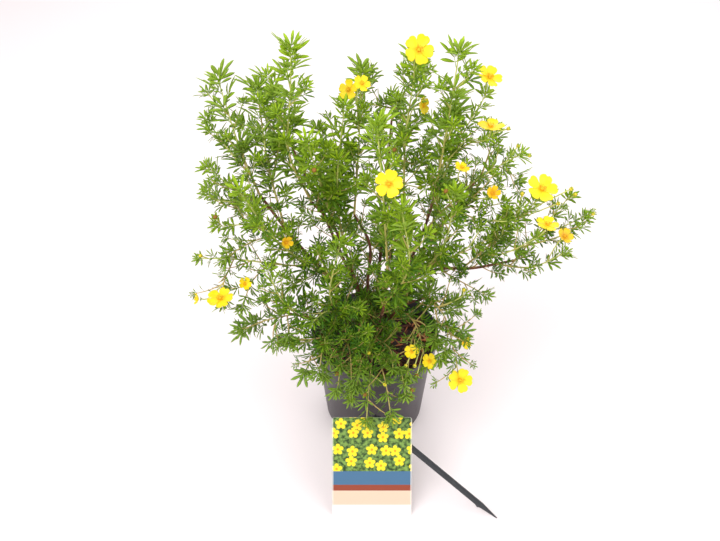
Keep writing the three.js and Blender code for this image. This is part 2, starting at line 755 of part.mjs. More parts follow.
// Flat chips of bark lie half sunk in the mulch, at angles drawn from one seed
function barkChips() {
  const random = randomStream(17);
  const chips = [];
  for (let i = 0; i < BARK_CHIPS; i += 1) {
    const angle = i * GOLDEN_ANGLE;
    const radius = 24 + 44 * Math.sqrt((i + 0.5) / BARK_CHIPS);
    const [x, y] = [radius * Math.cos(angle), radius * Math.sin(angle)];
    const chip = new THREE.BoxGeometry(10 + 12 * random(), 4 + 4 * random(), 3.2);
    chip.rotateY(0.5 * (random() - 0.5)).rotateX(0.5 * (random() - 0.5)).rotateZ(Math.PI * random());
    chip.translate(x, y, mulchHeight(x, y) + 0.6);
    chips.push(solidOf(chip));
  }
  return chips;
}

function crownSolid(clearance) {
  const profile = [
    [0, CROWN_BOTTOM - clearance],
    [5 + clearance, CROWN_BOTTOM + 1 - clearance],
    [CROWN_RADIUS + clearance, 108],
    [CROWN_RADIUS - 1 + clearance, 126],
    [5 + clearance, CROWN_TOP],
    [0, CROWN_TOP + 1 + clearance],
  ];
  return turned(profile, CROWN_SIDES);
}

function buildMulch(crownHole) {
  const chips = barkChips();
  return wasm.Manifold.union([mulchBody(), ...chips]).subtract(crownHole);
}

// All bark-covered stems and the crown, grown outwards by a clearance where they are used as a cutter
function framework(clearance) {
  const stems = Object.values(WOOD).map(({ route, radius }) => {
    const path = stretchesThrough(route.map(vector), STRETCH);
    return taperedTube(path, path.curves.length, radius + clearance, radius * 0.55 + clearance, WOOD_SIDES);
  });
  return wasm.Manifold.union([crownSolid(clearance), ...stems]);
}

// The frame of the card: its foot stands on the ground and its head leans back towards the pot
function labelFrame() {
  const along = new THREE.Vector3(0, Math.cos(LABEL_LEAN), Math.sin(LABEL_LEAN));
  const across = new THREE.Vector3(1, 0, 0);
  const facing = across.clone().cross(along);
  return new THREE.Matrix4().makeBasis(across, along, facing).setPosition(vector(LABEL_FOOT));
}

function buildLabel() {
  const [half, length, corner] = [LABEL_WIDTH / 2, LABEL_LENGTH, 3];
  const card = new THREE.Shape();
  card.moveTo(-half, 0);
  card.lineTo(half, 0);
  card.lineTo(half, length - corner);
  card.lineTo(half - corner, length);
  card.lineTo(corner - half, length);
  card.lineTo(-half, length - corner);
  const plate = new THREE.ExtrudeGeometry(card, { depth: LABEL_THICKNESS, bevelEnabled: false });
  return solidOf(plate.applyMatrix4(labelFrame()));
}

// A block between the stake's head and the back of the card, so that the stake props the card up
function stakePad(head, tip) {
  const card = labelFrame();
  const seat = head.clone().lerp(tip, STAKE_PAD_SHARE).applyMatrix4(card.clone().invert());
  const pad = new THREE.BoxGeometry(STAKE_PAD, STAKE_PAD, -GAP - seat.z);
  pad.translate(seat.x, seat.y, (seat.z - GAP) / 2);
  return solidOf(pad.applyMatrix4(card));
}

// A flat grooved stake with a barbed point on the ground and a pad at its head
function buildStake() {
  const [head, tip] = [vector(STAKE_HEAD), vector(STAKE_TIP)];
  const length = head.distanceTo(tip);
  const half = STAKE_WIDTH / 2;
  const blade = new THREE.Shape();
  blade.moveTo(0, -half);
  blade.lineTo(length - 34, -half);
  blade.lineTo(length - 30, -half - 1.6);
  blade.lineTo(length - 26, -half + 0.6);
  blade.lineTo(length, 0);
  blade.lineTo(length - 26, half - 0.6);
  blade.lineTo(0, half);
  const bar = new THREE.ExtrudeGeometry(blade, { depth: STAKE_THICKNESS, bevelEnabled: false });
  bar.translate(0, 0, -STAKE_THICKNESS / 2);
  const frame = frameAt(head, tip.clone().sub(head), new THREE.Vector3(0, 0, 1));
  const groove = new THREE.BoxGeometry(length - 60, 2.4, 2).translate(length / 2, 0, STAKE_THICKNESS / 2 + 0.4);
  const stake = solidOf(bar.applyMatrix4(frame)).subtract(solidOf(groove.applyMatrix4(frame)));
  return stake.add(stakePad(head, tip));
}

// The paths of a spray's stems: the first starts on its woody stem, the others on the first
function stemPaths(spray) {
  const bark = stretchesThrough(WOOD[spray.on].route.map(vector), STRETCH);
  const [first, ...forks] = spray.stems;
  const main = stretchesThrough([bark.getPointAt(spray.at), ...first.route.map(vector)], STRETCH);
  const branches = forks.map((stem) => [main.getPointAt(stem.fork), ...stem.route.map(vector)]);
  return [main, ...branches.map((points) => stretchesThrough(points, STRETCH))];
}

function stemSolid(stem, path) {
  const firstRadius = STEM_RADIUS + stem.size * STEM_RADIUS_PER_SIZE;
  return taperedTube(path, path.curves.length, firstRadius, GREEN_TIP_RADIUS, GREEN_SIDES);
}

// The frame of a leaf on its stem: turned round the stem by azimuth, leaning out by pitch
function leafFrame(path, share, azimuth, pitch, stalk) {
  const point = path.getPointAt(share);
  const tangent = path.getTangentAt(share);
  const side = new THREE.Vector3(0.31, 0.2, 0.93).cross(tangent).normalize();
  const radial = side.applyAxisAngle(tangent, azimuth);
  const forward = tangent.clone().multiplyScalar(Math.cos(pitch)).addScaledVector(radial, Math.sin(pitch));
  forward.z += 0.15 * Math.sin(pitch);
  forward.normalize();
  const up = tangent.clone().addScaledVector(radial, -0.35);
  return frameAt(point.addScaledVector(forward, stalk - PETIOLE_ROOT), forward, up);
}

// Leaves climb a stem by the golden angle, open at its foot and gathered at its tip
function growLeaves(stem, path, owner, placed, random) {
  const grown = [];
  for (let i = 0; i < stem.leaves; i += 1) {
    const rank = stem.leaves > 1 ? i / (stem.leaves - 1) : 1;
    const size = stem.size * (1.04 - 0.16 * rank) * (0.92 + 0.16 * random());
    const stalk = size * PETIOLE_SHARE;
    const droop = -0.05 + 0.3 * random();
    let azimuth = i * GOLDEN_ANGLE + 2 * random();
    for (let attempt = 0; attempt < PLACING_TRIES; attempt += 1) {
      const share = Math.min(1, 0.14 + 0.86 * rank + 0.05 * (random() - 0.5));
      const pitch = THREE.MathUtils.lerp(1.12, 0.3, rank) + 0.35 * (random() - 0.5);
      const blade = leafBlade(size, droop, stalk, leafFrame(path, share, azimuth, pitch, stalk));
      if (!placed.blocks(blade, 'stem of ' + owner)) {
        placed.add(blade, 'leaf of ' + owner);
        grown.push(blade);
        break;
      }
      azimuth += 0.9;
    }
  }
  return grown;
}

// The one body that holds together, without loose scraps
function largestBody(solid) {
  const bodies = solid.decompose();
  return bodies.reduce((best, body) => (body.volume() > best.volume() ? body : best));
}

function buildSprays(placed, cutter) {
  const paths = SPRAYS.map(stemPaths);
  const skeletons = SPRAYS.map((spray, i) => {
    const stems = spray.stems.map((stem, k) => stemSolid(stem, paths[i][k]));
    const heads = (spray.heads ?? []).map((head) => stalkAndHead(head, paths[i][head.stem ?? 0]));
    [...stems, ...heads].forEach((part) => placed.add(part, 'stem of ' + spray.name));
    return [...stems, ...heads];
  });
  return SPRAYS.map((spray, i) => {
    const random = randomStream(101 + i);
    const leaves = spray.stems.flatMap((stem, k) => growLeaves(stem, paths[i][k], spray.name, placed, random));
    const whole = wasm.Manifold.union([...skeletons[i], ...leaves]).subtract(cutter);
    return meshOf(spray.name, largestBody(whole), materials.leaf);
  });
}

function buildBlooms(placed) {
  const heads = SPRAYS.flatMap((spray) => spray.heads ?? []).filter((head) => head.kind === 'bloom');
  return heads.map((head, i) => {
    const bloom = bloomSolid(head, randomStream(501 + i));
    placed.add(bloom, 'bloom');
    return meshOf('bloom_' + String(i + 1).padStart(2, '0'), bloom, materials.petal);
  });
}

function buildPlant() {
  const plant = new THREE.Group();
  const placed = new Placed();
  const pot = buildPot();
  const wood = framework(0);
  const mulch = buildMulch(crownSolid(GAP + 0.1));
  const label = buildLabel();
  const stake = buildStake();
  [pot, wood, mulch, label, stake].forEach((solid) => placed.add(solid, 'holder'));
  plant.add(meshOf('pot', pot, materials.pot));
  plant.add(meshOf('potting_mix', mulch, materials.mulch));
  plant.add(meshOf('woody_framework', wood, materials.wood));
  plant.add(meshOf('plant_label', label, materials.card));
  plant.add(meshOf('label_stake', stake, materials.stake));
  plant.add(...buildBlooms(placed));
  plant.add(...buildSprays(placed, framework(GAP)));
  return plant;
}

export default buildPlant();
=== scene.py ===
"""Dressed model of a shrubby cinquefoil in its nursery pot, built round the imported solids.

Every sub-assembly is a class with its sizes as fields, and every finish is a frozen dataclass. What
repeats or follows a path (stems, leaves, stamens, bark chips) is made by Geometry Nodes and turned
into plain meshes. Sizes are in metres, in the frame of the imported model.
"""
import json
import logging
import math
import random
from collections.abc import Callable, Iterable, Sequence
from dataclasses import dataclass, field
from enum import Enum

import bmesh
import bpy
from mathutils import Matrix, Quaternion, Vector

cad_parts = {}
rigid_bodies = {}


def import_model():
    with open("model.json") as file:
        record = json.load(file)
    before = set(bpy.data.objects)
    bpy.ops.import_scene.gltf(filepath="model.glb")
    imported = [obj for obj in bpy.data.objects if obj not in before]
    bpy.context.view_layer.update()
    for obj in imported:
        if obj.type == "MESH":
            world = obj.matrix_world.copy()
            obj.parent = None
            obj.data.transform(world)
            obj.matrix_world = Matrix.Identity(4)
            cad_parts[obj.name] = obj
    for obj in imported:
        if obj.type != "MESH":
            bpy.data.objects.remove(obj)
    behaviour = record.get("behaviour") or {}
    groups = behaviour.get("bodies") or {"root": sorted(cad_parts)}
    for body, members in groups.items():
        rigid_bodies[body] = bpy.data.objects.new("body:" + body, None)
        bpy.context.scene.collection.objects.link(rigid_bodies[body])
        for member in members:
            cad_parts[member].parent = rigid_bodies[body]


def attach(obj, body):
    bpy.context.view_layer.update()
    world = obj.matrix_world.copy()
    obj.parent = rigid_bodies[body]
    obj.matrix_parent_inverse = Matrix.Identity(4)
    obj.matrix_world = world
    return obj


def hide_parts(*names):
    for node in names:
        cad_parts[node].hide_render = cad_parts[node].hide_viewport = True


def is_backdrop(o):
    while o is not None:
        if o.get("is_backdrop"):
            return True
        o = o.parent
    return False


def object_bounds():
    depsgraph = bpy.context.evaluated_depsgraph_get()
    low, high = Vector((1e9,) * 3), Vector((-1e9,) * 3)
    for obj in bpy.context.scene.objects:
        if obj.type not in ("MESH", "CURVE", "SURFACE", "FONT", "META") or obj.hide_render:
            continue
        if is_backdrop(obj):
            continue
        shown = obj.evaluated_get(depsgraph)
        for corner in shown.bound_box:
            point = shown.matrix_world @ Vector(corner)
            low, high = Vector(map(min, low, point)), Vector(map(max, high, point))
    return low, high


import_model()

log = logging.getLogger("cinquefoil")

MM = 0.001
GOLDEN_ANGLE = math.radians(137.5)
ROOT_BODY = "root"
# A direction that no stem follows, from which turns round a stem are counted
ASIDE = Vector((0.31, 0.2, 0.93))
MERGE_DISTANCE = 1e-6
Colour = tuple[float, float, float]
Point = tuple[float, float, float]
Flat = tuple[float, float]
Shape = bpy.types.Object
Inputs = dict[str, object]

# The curve between screen values and linear light
SCREEN_TOP = 255
CURVE_KNEE = 0.04045
CURVE_SLOPE = 12.92
CURVE_OFFSET = 0.055
CURVE_POWER = 2.4


def rgb(red: int, green: int, blue: int) -> Colour:
    """Linear colour of a screen colour.

    Args:
        red: Red, 0 to 255.
        green: Green, 0 to 255.
        blue: Blue, 0 to 255.

    Returns:
        The same colour in linear light.
    """

    def linear(value: int) -> float:
        """One channel, from its screen value to linear light."""
        share = value / SCREEN_TOP
        return share / CURVE_SLOPE if share <= CURVE_KNEE else (
            (share + CURVE_OFFSET) / (1 + CURVE_OFFSET)) ** CURVE_POWER

    return linear(red), linear(green), linear(blue)


def millimetres(point: Sequence[float]) -> Vector:
    """A point given in millimetres, in metres."""
    return Vector(point) * MM


def on_circle(radius: float, step: int, count: int, height: float = 0.0) -> Vector:
    """The point at one of so many even steps round Z, at a height."""
    angle = 2 * math.pi * step / count
    return Vector((radius * math.cos(angle), radius * math.sin(angle), height))


def axes(ahead: Vector, across: Vector) -> Matrix:
    """The rotation that lays X ahead and Y across."""
    return Matrix((ahead, across, ahead.cross(across))).transposed()


# Node trees


class Value:
    """One output of a node tree, so that maths on it is written as an expression."""

    def __init__(self, bench: "Bench", socket: bpy.types.NodeSocket) -> None:
        """Keeps the tree's bench and the socket."""
        self.bench = bench
        self.socket = socket

    def _maths(self, operation: str, first: "Value | float", second: "Value | float" = 0.0) -> "Value":
        """Adds one Math node.

        Args:
            operation: Name of the node's operation.
            first: First term.
            second: Second term.

        Returns:
            The node's result.
        """
        return self.bench.add("ShaderNodeMath", {"operation": operation}, {0: first, 1: second})

    def __add__(self, other: "Value | float") -> "Value":
        """Sum."""
        return self._maths("ADD", self, other)

    def __radd__(self, other: float) -> "Value":
        """Sum, the other way round."""
        return self._maths("ADD", other, self)

    def __sub__(self, other: "Value | float") -> "Value":
        """Difference."""
        return self._maths("SUBTRACT", self, other)

    def __rsub__(self, other: float) -> "Value":
        """Difference, the other way round."""
        return self._maths("SUBTRACT", other, self)

    def __mul__(self, other: "Value | float") -> "Value":
        """Product."""
        return self._maths("MULTIPLY", self, other)

    def __rmul__(self, other: float) -> "Value":
        """Product, the other way round."""
        return self._maths("MULTIPLY", other, self)

    def __pow__(self, other: float) -> "Value":
        """Power."""
        return self._maths("POWER", self, other)

    def __abs__(self) -> "Value":
        """Size without its sign."""
        return self._maths("ABSOLUTE", self)

    def sine(self) -> "Value":
        """Sine of an angle in radians."""
        return self._maths("SINE", self)

    def angle(self, other: "Value") -> "Value":
        """Angle in radians of a direction, of which this is the second part and other the first."""
        return self._maths("ARCTAN2", self, other)

    def above(self, edge: "Value | float") -> "Value":
        """1 where the value is over an edge, else 0."""
        return self._maths("GREATER_THAN", self, edge)

    def below(self, edge: "Value | float") -> "Value":
        """1 where the value is under an edge, else 0."""
        return self._maths("LESS_THAN", self, edge)

    def ramp(self, low: float, high: float) -> "Value":
        """A smooth step from 0 at low to 1 at high."""
        settings = {"interpolation_type": "SMOOTHSTEP"}
        return self.bench.add("ShaderNodeMapRange", settings, {0: self, 1: low, 2: high, 3: 0.0, 4: 1.0})


class Bench:
    """Adds nodes to one shader or geometry tree."""

    def __init__(self, tree: bpy.types.NodeTree) -> None:
        """Keeps the tree."""
        self.tree = tree

    def node(self, kind: str, settings: dict | None = None, inputs: dict | None = None) -> bpy.types.Node:
        """Adds any node.

        Args:
            kind: Blender's name of the node type.
            settings: Properties, set first.
            inputs: Values or links of its sockets, by name or number.

        Returns:
            The node.
        """
        made = self.tree.nodes.new(kind)
        for name, value in (settings or {}).items():
            setattr(made, name, value)
        for key, value in (inputs or {}).items():
            socket = made.inputs[key]
            if isinstance(value, Value):
                self.tree.links.new(value.socket, socket)
            elif isinstance(value, list):
                for item in value:
                    self.tree.links.new(item.socket, socket)
            elif socket.type == "RGBA" and len(value) == 3:
                socket.default_value = (*value, 1.0)
            else:
                socket.default_value = value
        return made

    def add(self, kind: str, settings: dict | None = None, inputs: dict | None = None,
            output: int | str = 0) -> Value:
        """Adds any node and gives one of its outputs, as node() does."""
        return Value(self, self.node(kind, settings, inputs).outputs[output])

    def blend(self, factor: "Value | float", first: "Value | Colour", second: "Value | Colour") -> Value:
        """Mixes two colours.

        Args:
            factor: Share of the second colour.
            first: First colour.
            second: Second colour.

        Returns:
            The mixed colour.
        """
        settings = {"data_type": "RGBA", "blend_type": "MIX", "clamp_factor": True}
        return self.add("ShaderNodeMix", settings, {0: factor, 6: first, 7: second}, 2)

    def attribute(self, name: str) -> Value:
        """A number kept on the mesh, read in a shader."""
        return self.add("ShaderNodeAttribute", {"attribute_name": name}, None, "Fac")

    def place(self) -> Value:
        """Object coordinates."""
        return self.add("ShaderNodeTexCoord", None, None, "Object")

    def chart(self) -> tuple[Value, Value]:
        """The two numbers of the piece's own UV map."""
        return self.split(self.add("ShaderNodeUVMap", {"uv_map": "UVMap"}))

    def split(self, vector: Value) -> tuple[Value, Value]:
        """The first two numbers of a vector."""
        parts = self.node("ShaderNodeSeparateXYZ", None, {0: vector})
        return Value(self, parts.outputs[0]), Value(self, parts.outputs[1])

    def noise(self, scale: float, detail: float = 3.0, stretch: Point = (1, 1, 1),
              where: Value | None = None) -> Value:
        """Smooth noise over the piece.

        Args:
            scale: Lumps a metre.
            detail: Finer layers.
            stretch: Scale along each axis.
            where: Coordinates, Object ones if left out.

        Returns:
            Noise of about 0 to 1.
        """
        spread = self.add("ShaderNodeMapping", None, {"Vector": where or self.place(), "Scale": stretch})
        inputs = {"Vector": spread, "Scale": scale, "Detail": detail}
        return self.add("ShaderNodeTexNoise", None, inputs, "Fac")

    def bump(self, height: Value, strength: float, distance: float) -> Value:
        """A bumped normal.

        Args:
            height: Height of about 0 to 1.
            strength: Share of the bump.
            distance: Height of the bump in metres.

        Returns:
            The normal.
        """
        inputs = {"Strength": strength, "Distance": distance, "Height": height}
        return self.add("ShaderNodeBump", None, inputs)


class Finish:
    """A finish that makes one material, once."""

    name = "finish"
    made: dict[str, bpy.types.Material] = {}

    def paint(self, bench: Bench) -> Inputs:
        """Adds the nodes and gives the inputs of the surface shader, by name."""
        raise NotImplementedError

    def material(self) -> bpy.types.Material:
        """Makes the material of this finish, unless it is made already.

        Returns:
            The material.
        """
        if self.name not in Finish.made:
            material = bpy.data.materials.new(self.name)
            material.use_nodes = True
            material.node_tree.nodes.clear()
            bench = Bench(material.node_tree)
            surface = bench.add("ShaderNodeBsdfPrincipled", None, self.paint(bench))
            bench.node("ShaderNodeOutputMaterial", None, {"Surface": surface})
            Finish.made[self.name] = material
        return Finish.made[self.name]


@dataclass(frozen=True)
class LeafFinish(Finish):
    """Leaflets: older ones darker, new growth yellow-green with painted backlight as paler yellow-green at
    the shoot tips and the top of the plant, paler and hairy beneath, with a pale midrib.
    """

    old: Colour = rgb(42, 98, 10)
    young_and_backlit: Colour = rgb(176, 208, 30)
    beneath: Colour = rgb(148, 180, 70)
    husk: Colour = rgb(150, 104, 48)
    bud: Colour = rgb(226, 206, 60)
    roughness: float = 0.52
    name = "leaf_tissue"

    def paint(self, bench: Bench) -> Inputs:
        """Mixes the greens by age with painted backlight at the tips and the top, and by side, rib and husk.

        Args:
            bench: Where the nodes go.

        Returns:
            The shader's inputs.
        """
        across, _ = bench.chart()
        youth, husk = bench.attribute("youth"), bench.attribute("husk")
        mottle = bench.noise(240.0, 4.0)
        rib = 1.0 - abs(across - 0.5).ramp(0.015, 0.075)
        # Paler yellow-green where youth is high: partly new growth, partly painted backlight at the shoot
        # tips and the top of the plant.
        green = bench.blend(youth + (mottle - 0.5) * 0.3, self.old, self.young_and_backlit)
        green = bench.blend(rib * 0.45, green, self.beneath)
        green = bench.blend(bench.attribute("underside") * 0.65, green, self.beneath)
        dry = bench.blend(husk.ramp(0.25, 0.5), green, self.husk)
        colour = bench.blend(husk.ramp(0.7, 0.95), dry, self.bud)
        height = rib * 0.6 + bench.noise(1900.0, 2.0) * 0.4
        return {
            "Base Color": colour,
            "Roughness": mottle * 0.16 + (self.roughness - 0.08),
            "Normal": bench.bump(height, 0.35, 0.0003),
            "Subsurface Weight": 0.12,
            "Subsurface Radius": (0.0006, 0.0012, 0.0003),
            "Specular IOR Level": 0.25,
        }


@dataclass(frozen=True)
class ShootFinish(Finish):
    """Green shoots: yellow-green above, tan to pinkish where they ripen, with darker nodes."""

    green: Colour = rgb(202, 208, 112)
    tan: Colour = rgb(190, 152, 92)
    node: Colour = rgb(122, 78, 48)
    name = "green_shoot"

    def paint(self, bench: Bench) -> Inputs:
        """Mixes green to tan by age, with streaks along the shoot.

        Args:
            bench: Where the nodes go.

        Returns:
            The shader's inputs.
        """
        streak = bench.noise(420.0, 3.0, (1, 1, 0.25))
        ripe = 1.0 - bench.attribute("youth").ramp(0.1, 0.85)
        colour = bench.blend(ripe * 0.8 + (streak - 0.5) * 0.6, self.green, self.tan)
        colour = bench.blend(bench.noise(70.0).ramp(0.6, 0.75) * 0.45, colour, self.node)
        return {
            "Base Color": colour,
            "Roughness": streak * 0.2 + 0.5,
            "Normal": bench.bump(streak, 0.3, 0.0002),
        }


@dataclass(frozen=True)
class BarkFinish(Finish):
    """Red-brown bark that peels in long pale strips."""

    dark: Colour = rgb(72, 40, 28)
    red: Colour = rgb(128, 76, 50)
    peel: Colour = rgb(190, 146, 108)
    name = "peeling_bark"

    def paint(self, bench: Bench) -> Inputs:
        """Mixes streaks along the stems.

        Args:
            bench: Where the nodes go.

        Returns:
            The shader's inputs.
        """
        strips = bench.noise(190.0, 5.0, (1, 1, 0.14))
        peel = strips.ramp(0.56, 0.66)
        colour = bench.blend(bench.noise(60.0, 4.0).ramp(0.3, 0.7), self.dark, self.red)
        colour = bench.blend(peel * 0.75, colour, self.peel)
        return {
            "Base Color": colour,
            "Roughness": peel * 0.12 + 0.72,
            "Normal": bench.bump(strips, 0.8, 0.0009),
        }


@dataclass(frozen=True)
class PetalFinish(Finish):
    """Clear yellow petals, a little deeper at the claw, with faint veins."""

    yellow: Colour = rgb(255, 228, 0)
    claw: Colour = rgb(255, 206, 0)
    faded: Colour = rgb(222, 166, 14)
    name = "yellow_petal"

    def paint(self, bench: Bench) -> Inputs:
        """Mixes the yellows from claw to edge, with veins along the petal.

        Args:
            bench: Where the nodes go.

        Returns:
            The shader's inputs.
        """
        across, along = bench.chart()
        veins = (across * 74.0 + bench.noise(160.0) * 2.0).sine() * 0.5 + 0.5
        colour = bench.blend(1.0 - along.ramp(0.05, 0.5), self.yellow, self.claw)
        colour = bench.blend(veins * 0.07, colour, self.claw)
        wilt = bench.attribute("husk") * (1.0 - along.ramp(0.1, 0.8) * 0.6)
        return {
            "Base Color": bench.blend(wilt, colour, self.faded),
            "Roughness": veins * 0.08 + 0.42,
            "Normal": bench.bump(veins, 0.25, 0.00025),
            "Subsurface Weight": 0.1,
            "Subsurface Radius": (0.0012, 0.0009, 0.0002),
            "Sheen Weight": 0.08,
        }


@dataclass(frozen=True)
class PollenFinish(Finish):
    """Stamens and the hairy middle of a bloom: orange-yellow with a rough grain."""

    bright: Colour = rgb(252, 208, 24)
    deep: Colour = rgb(228, 160, 12)
    name = "pollen"

    def paint(self, bench: Bench) -> Inputs:
        """Mixes the yellows by a fine grain.

        Args:
            bench: Where the nodes go.

        Returns:
            The shader's inputs.
        """
        grain = bench.noise(1600.0, 3.0)
        return {
            "Base Color": bench.blend(grain.ramp(0.35, 0.65), self.deep, self.bright),
            "Roughness": grain * 0.2 + 0.65,
            "Normal": bench.bump(grain, 0.6, 0.0003),
        }


@dataclass(frozen=True)
class PotFinish(Finish):
    """Dark taupe moulded plastic with a fine grain, dusty and scuffed."""

    body: Colour = rgb(46, 40, 46)
    dust: Colour = rgb(100, 92, 96)
    name = "nursery_pot"

    def paint(self, bench: Bench) -> Inputs:
        """Mixes dust and scuffs over the plastic.

        Args:
            bench: Where the nodes go.

        Returns:
            The shader's inputs.
        """
        grain = bench.noise(1300.0, 2.0)
        dust = bench.noise(16.0, 6.0).ramp(0.45, 0.8)
        scuffs = bench.noise(95.0, 4.0, (1, 1, 0.12)).ramp(0.62, 0.7)
        colour = bench.blend(dust * 0.35 + scuffs * 0.2, self.body, self.dust)
        return {
            "Base Color": colour,
            "Roughness": dust * 0.14 + scuffs * 0.1 + 0.4,
            "Normal": bench.bump(grain, 0.25, 0.00025),
        }


@dataclass(frozen=True)
class SoilFinish(Finish):
    """Moist dark mix between the bark chips."""

    dark: Colour = rgb(28, 16, 12)
    crumb: Colour = rgb(74, 42, 28)
    name = "potting_mix_surface"

    def paint(self, bench: Bench) -> Inputs:
        """Mixes dark soil and paler crumbs.

        Args:
            bench: Where the nodes go.

        Returns:
            The shader's inputs.
        """
        crumbs = bench.noise(310.0, 6.0)
        return {
            "Base Color": bench.blend(crumbs.ramp(0.45, 0.7), self.dark, self.crumb),
            "Roughness": crumbs * 0.2 + 0.75,
            "Normal": bench.bump(crumbs, 0.9, 0.0016),
        }


@dataclass(frozen=True)
class ChipFinish(Finish):
    """Bark chips, from dark red-brown to a few pale orange splinters, with fibres along them."""

    dark: Colour = rgb(52, 24, 16)
    red: Colour = rgb(124, 58, 34)
    pale: Colour = rgb(216, 130, 76)
    name = "bark_chip"

    def paint(self, bench: Bench) -> Inputs:
        """Mixes the browns by chip, and fibres along each.

        Args:
            bench: Where the nodes go.

        Returns:
            The shader's inputs.
        """
        across, _ = bench.chart()
        tone = bench.attribute("youth")
        fibre = (across * 46.0 + bench.noise(260.0) * 5.0).sine() * 0.5 + 0.5
        colour = bench.blend(tone.ramp(0.0, 0.8), self.dark, self.red)
        colour = bench.blend(tone.ramp(0.8, 0.9), colour, self.pale)
        return {
            "Base Color": bench.blend(fibre * 0.4, colour, self.dark),
            "Roughness": fibre * 0.15 + 0.7,
            "Normal": bench.bump(fibre, 0.7, 0.0006),
        }


@dataclass(frozen=True)
class PrintFinish(Finish):
    """Printed film of the label: a generic leafy field with plain flowers, over plain bands."""

    leaf_dark: Colour = rgb(34, 62, 26)
    leaf_light: Colour = rgb(128, 162, 76)
    flower: Colour = rgb(246, 224, 40)
    heart: Colour = rgb(226, 160, 24)
    blue: Colour = rgb(72, 112, 146)
    red: Colour = rgb(148, 66, 44)
    peach: Colour = rgb(232, 200, 176)
    white: Colour = rgb(240, 236, 228)
    edges: tuple[float, ...] = (0.546, 0.685, 0.745, 0.89)
    shape: float = 1.27
    spots: Point = (5.4, 6.9, 1)
    scatter: float = 0.7
    petals: float = 5.0
    petal_reach: float = 0.24
    petal_foot: float = 0.16
    heart_reach: float = 0.085
    border: float = 0.485
    name = "printed_label"

    def paint(self, bench: Bench) -> Inputs:
        """Lays the bands down the card, and the field with its flowers at the top.

        Args:
            bench: Where the nodes go.

        Returns:
            The shader's inputs.
        """
        across, down = bench.chart()
        where = bench.add("ShaderNodeUVMap", {"uv_map": "UVMap"})
        leaves = bench.noise(22.0, 5.0, (1, self.shape, 1), where)
        field_colour = bench.blend(leaves.ramp(0.35, 0.65), self.leaf_dark, self.leaf_light)
        spread = bench.add("ShaderNodeMapping", None, {"Vector": where, "Scale": self.spots})
        settings = {"voronoi_dimensions": "2D"}
        inputs = {"Vector": spread, "Scale": 1.0, "Randomness": self.scatter}
        middle = bench.add("ShaderNodeTexVoronoi", settings, inputs, "Position")
        offset = bench.add("ShaderNodeVectorMath", {"operation": "SUBTRACT"}, {0: spread, 1: middle})
        x, y = bench.split(offset)
        reach = (x * x + y * y) ** 0.5
        lobes = abs((x.angle(y) * (self.petals / 2)).sine()) ** 0.5 * self.petal_reach + self.petal_foot
        field_colour = bench.blend(reach.below(lobes), field_colour, self.flower)
        colour = bench.blend(reach.below(self.heart_reach), field_colour, self.heart)
        for place, band in zip(self.edges, (self.blue, self.red, self.peach, self.white)):
            colour = bench.blend(down.above(place), colour, band)
        edge = abs(across - 0.5).above(self.border)
        film = bench.noise(30.0, 2.0)
        return {
            "Base Color": bench.blend(edge * 0.5, colour, self.white),
            "Roughness": film * 0.1 + 0.28,
            "Normal": bench.bump(film, 0.1, 0.0004),
        }


@dataclass(frozen=True)
class StakeFinish(Finish):
    """Near-black moulded plastic with a matt grain and worn edges."""

    body: Colour = rgb(44, 45, 50)
    worn: Colour = rgb(86, 86, 90)
    name = "stake_moulding"

    def paint(self, bench: Bench) -> Inputs:
        """Mixes wear over the plastic.

        Args:
            bench: Where the nodes go.

        Returns:
            The shader's inputs.
        """
        grain = bench.noise(900.0, 2.0)
        wear = bench.noise(120.0, 5.0).ramp(0.55, 0.75)
        return {
            "Base Color": bench.blend(wear * 0.4, self.body, self.worn),
            "Roughness": wear * 0.12 + 0.45,
            "Normal": bench.bump(grain, 0.2, 0.0002),
        }


@dataclass(frozen=True)
class FloorFinish(Finish):
    """Pale paper sweep, faintly pink."""

    paper: Colour = rgb(244, 234, 236)
    bright: Colour = rgb(250, 244, 245)
    name = "paper_sweep"

    def paint(self, bench: Bench) -> Inputs:
        """A barely uneven pale sheet."""
        tone = bench.noise(1.5, 2.0)
        return {"Base Color": bench.blend(tone * 0.3, self.paper, self.bright), "Roughness": 0.9}


# Meshes


PLAIN: Flat = (0.5, 0.5)
FOOT_MARK: Flat = (0.5, 0)
ROD_SIDES = 3
# Leaflets: places of their rings as a share of the length, with the width there as a share of the widest
LEAFLET_RINGS = ((0.16, 0.42), (0.42, 0.86), (0.68, 1.0), (0.87, 0.66))
LEAFLET_THICKNESS = 0.012
LEAFLET_FOLD = 0.28
# The four long faces of a leaflet: the UV at both sides and whether the face is beneath
LEAFLET_QUARTERS = ((0, 0.5, 0), (0.5, 1, 0), (1, 0.5, 1), (0.5, 0, 1))
KNOB_LEVELS = (-0.7, 0.0, 0.7)


